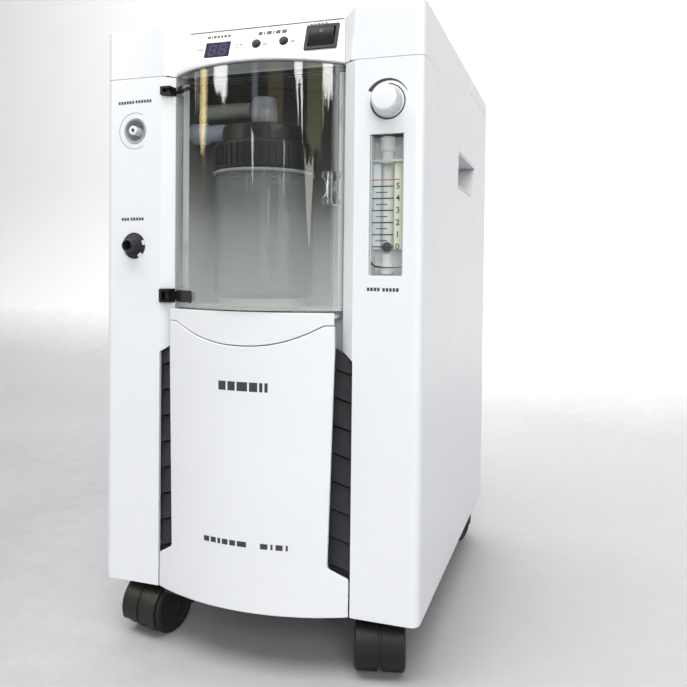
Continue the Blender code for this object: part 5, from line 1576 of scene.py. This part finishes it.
def surroundings():
    """Cards that only mirrors see: a dark room with ragged bright streaks above a pale foreground."""
    def band(start, end, low, high, step=5):
        turns = [start + (end - start) * i / step for i in range(step + 1)]
        return [[(a, low), (b, low), (b, high), (a, high)] for a, b in zip(turns, turns[1:])]

    top = 3.2
    mirror_card("room_dark", glowing("room_dark", 0.035, (1.0, 0.9, 0.76)), band(-88, 53, 0.80, top, 30), 2.90)
    mirror_card("room_left", glowing("room_left", 1.0, (0.96, 0.98, 1.0)), band(-130, -88, 0.02, top, 8), 2.90)
    mirror_card("room_right", glowing("room_right", 3.2, (0.96, 0.98, 1.0)), band(53, 80, 0.02, top, 6), 2.90)
    mirror_card("foreground", glowing("foreground", 1.0, (0.95, 1.0, 0.98), (0.40, 0.82)),
                band(-50, 53, 0.02, 0.82, 24), 2.86)
    mirror_card("foreground_left", glowing("foreground_left", 1.25, (1.0, 0.99, 0.94), (0.40, 1.05)),
                band(-88, -50, 0.02, 1.05, 6), 2.86)
    white, warm, olive = (1.0, 1.0, 0.98), (1.0, 0.80, 0.38), (0.62, 0.64, 0.30)
    streaks = [
        ("streak_a", 5.0, white, [(-74.5, top), (-74.2, 1.22), (-73.2, 1.03), (-72.5, 1.2), (-72.2, top)]),
        ("streak_b", 7.0, warm, [(-67, top), (-67, 0.98), (-64.5, 0.86), (-63, 0.88), (-60.5, 1.0), (-60.5, top)]),
        ("streak_c", 1.6, warm, [(-63.6, 0.87), (-62.6, 0.64), (-62.0, 0.87)]),
        ("streak_d", 9.0, white, [(-50, top), (-50.5, 1.17), (-47, 1.13), (-45.5, 1.16), (-41.5, 1.08), (-40, 1.12),
                                  (-38.5, 1.12), (-37, top)]),
        ("streak_e", 6.0, white, [(-16.5, 0.97), (-15.2, 0.70), (-14.2, 0.93)]),
        ("streak_f", 0.9, (0.8, 0.88, 1.0), [(-16.5, top), (-16.5, 1.02), (-11.5, 1.02), (-11.5, top)]),
        ("streak_g", 0.45, (0.9, 0.68, 0.34), [(-3, top), (-3, 1.02), (2, 0.96), (9.5, 0.97), (9.5, top)]),
        ("streak_h", 2.6, (1.0, 0.72, 0.42), [(6.6, top), (7.2, 1.06), (7.9, 0.98), (8.6, 1.1), (8.6, top)]),
        ("streak_i", 8.0, white, [(18.5, top), (18.8, 1.2), (21, 1.17), (25.5, 1.18), (26.2, top)]),
        ("streak_j", 7.0, white, [(19.2, 1.2), (22.6, 0.96), (21.4, 1.18)]),
        ("streak_k", 7.0, white, [(23.6, 1.19), (26.6, 0.90), (26.0, 1.19)]),
        ("streak_l", 0.9, olive, [(30.5, top), (30, 0.95), (34, 0.82), (38, 0.9), (41, 0.84), (41, top)]),
        ("streak_m", 9.0, white, [(41, top), (41.5, 1.12), (43, 1.17), (44.6, 1.08), (46, 1.16), (47.4, 1.06),
                                  (49, 1.15), (50.5, 1.10), (51, top)]),
        ("streak_n", 3.0, (1.0, 1.0, 0.8), [(41.4, 1.14), (42.4, 0.93), (43.0, 1.14)]),
        ("streak_o", 3.2, (1.0, 0.90, 0.84), [(27.6, 0.90), (29.2, 0.66), (31.6, 0.47), (32.6, 0.45), (34.2, 0.62),
                                        (35.6, 0.76), (35.9, 0.90), (33.6, 0.80), (31.6, 0.84), (29.6, 0.80)]),
        ("streak_p", 2.4, white, [(10.4, 0.92), (11.6, 0.66), (12.4, 0.90)])]
    for name, strength, colour, outline in streaks:
        mirror_card(name, glowing(name, strength * 1.35, colour), [outline], 2.80)


def lights():
    area_light("key", (1.2, -2.75, 1.4), (0, 0, 0.3), (1.6, 1.6), 32.5, False)
    area_light("side_key", (1.8, -2.4, 1.4), (0, 0, 0.3), (1.6, 1.6), 9, False)
    area_light("overhead_front", (0.0, -1.0, 2.4), (0, 0, 0), (2.4, 1.4), 57)
    area_light("overhead_back", (-0.3, 1.0, 2.4), (-0.2, 0.9, 0), (3.0, 1.0), 35)
    world = bpy.data.worlds.new("studio")
    bpy.context.scene.world = world
    world.use_nodes = True
    sky = world.node_tree.nodes["Background"]
    sky.inputs["Color"].default_value = (0.97, 0.985, 1.0, 1.0)
    sky.inputs["Strength"].default_value = 0.2
    bpy.context.scene.view_settings.view_transform = "Standard"


# ---- assembly ----
column(-1)
column(1)
front_bulkhead()
cabinet_shell()
rear_top_cover()
control_panel()
panel_marks()
display_module()
for place_name, place in BUTTONS.items():
    timer_button(place_name, place)
power_switch()
chamber_liner()
chamber_door()
for hinge_name, (hinge_low, hinge_high) in HINGES.items():
    hinge(hinge_name, hinge_low, hinge_high)
door_latch()
humidifier()
inlet_tube()
lower_panel()
door_sill()
for side_sign in (-1, 1):
    vent_grille(side_sign)
    handle_pocket(side_sign)
    cord_hook(side_sign)
front_marks()
apron_marks()
oxygen_outlet()
nebuliser_outlet()
flowmeter()
flow_knob()
for caster_name, caster_yaw in CASTER_YAW.items():
    caster(caster_name, caster_yaw)
bpy.data.objects.remove(PANEL_FRAME, do_unlink=True)
dressed()
studio_floor()
surroundings()
lights()
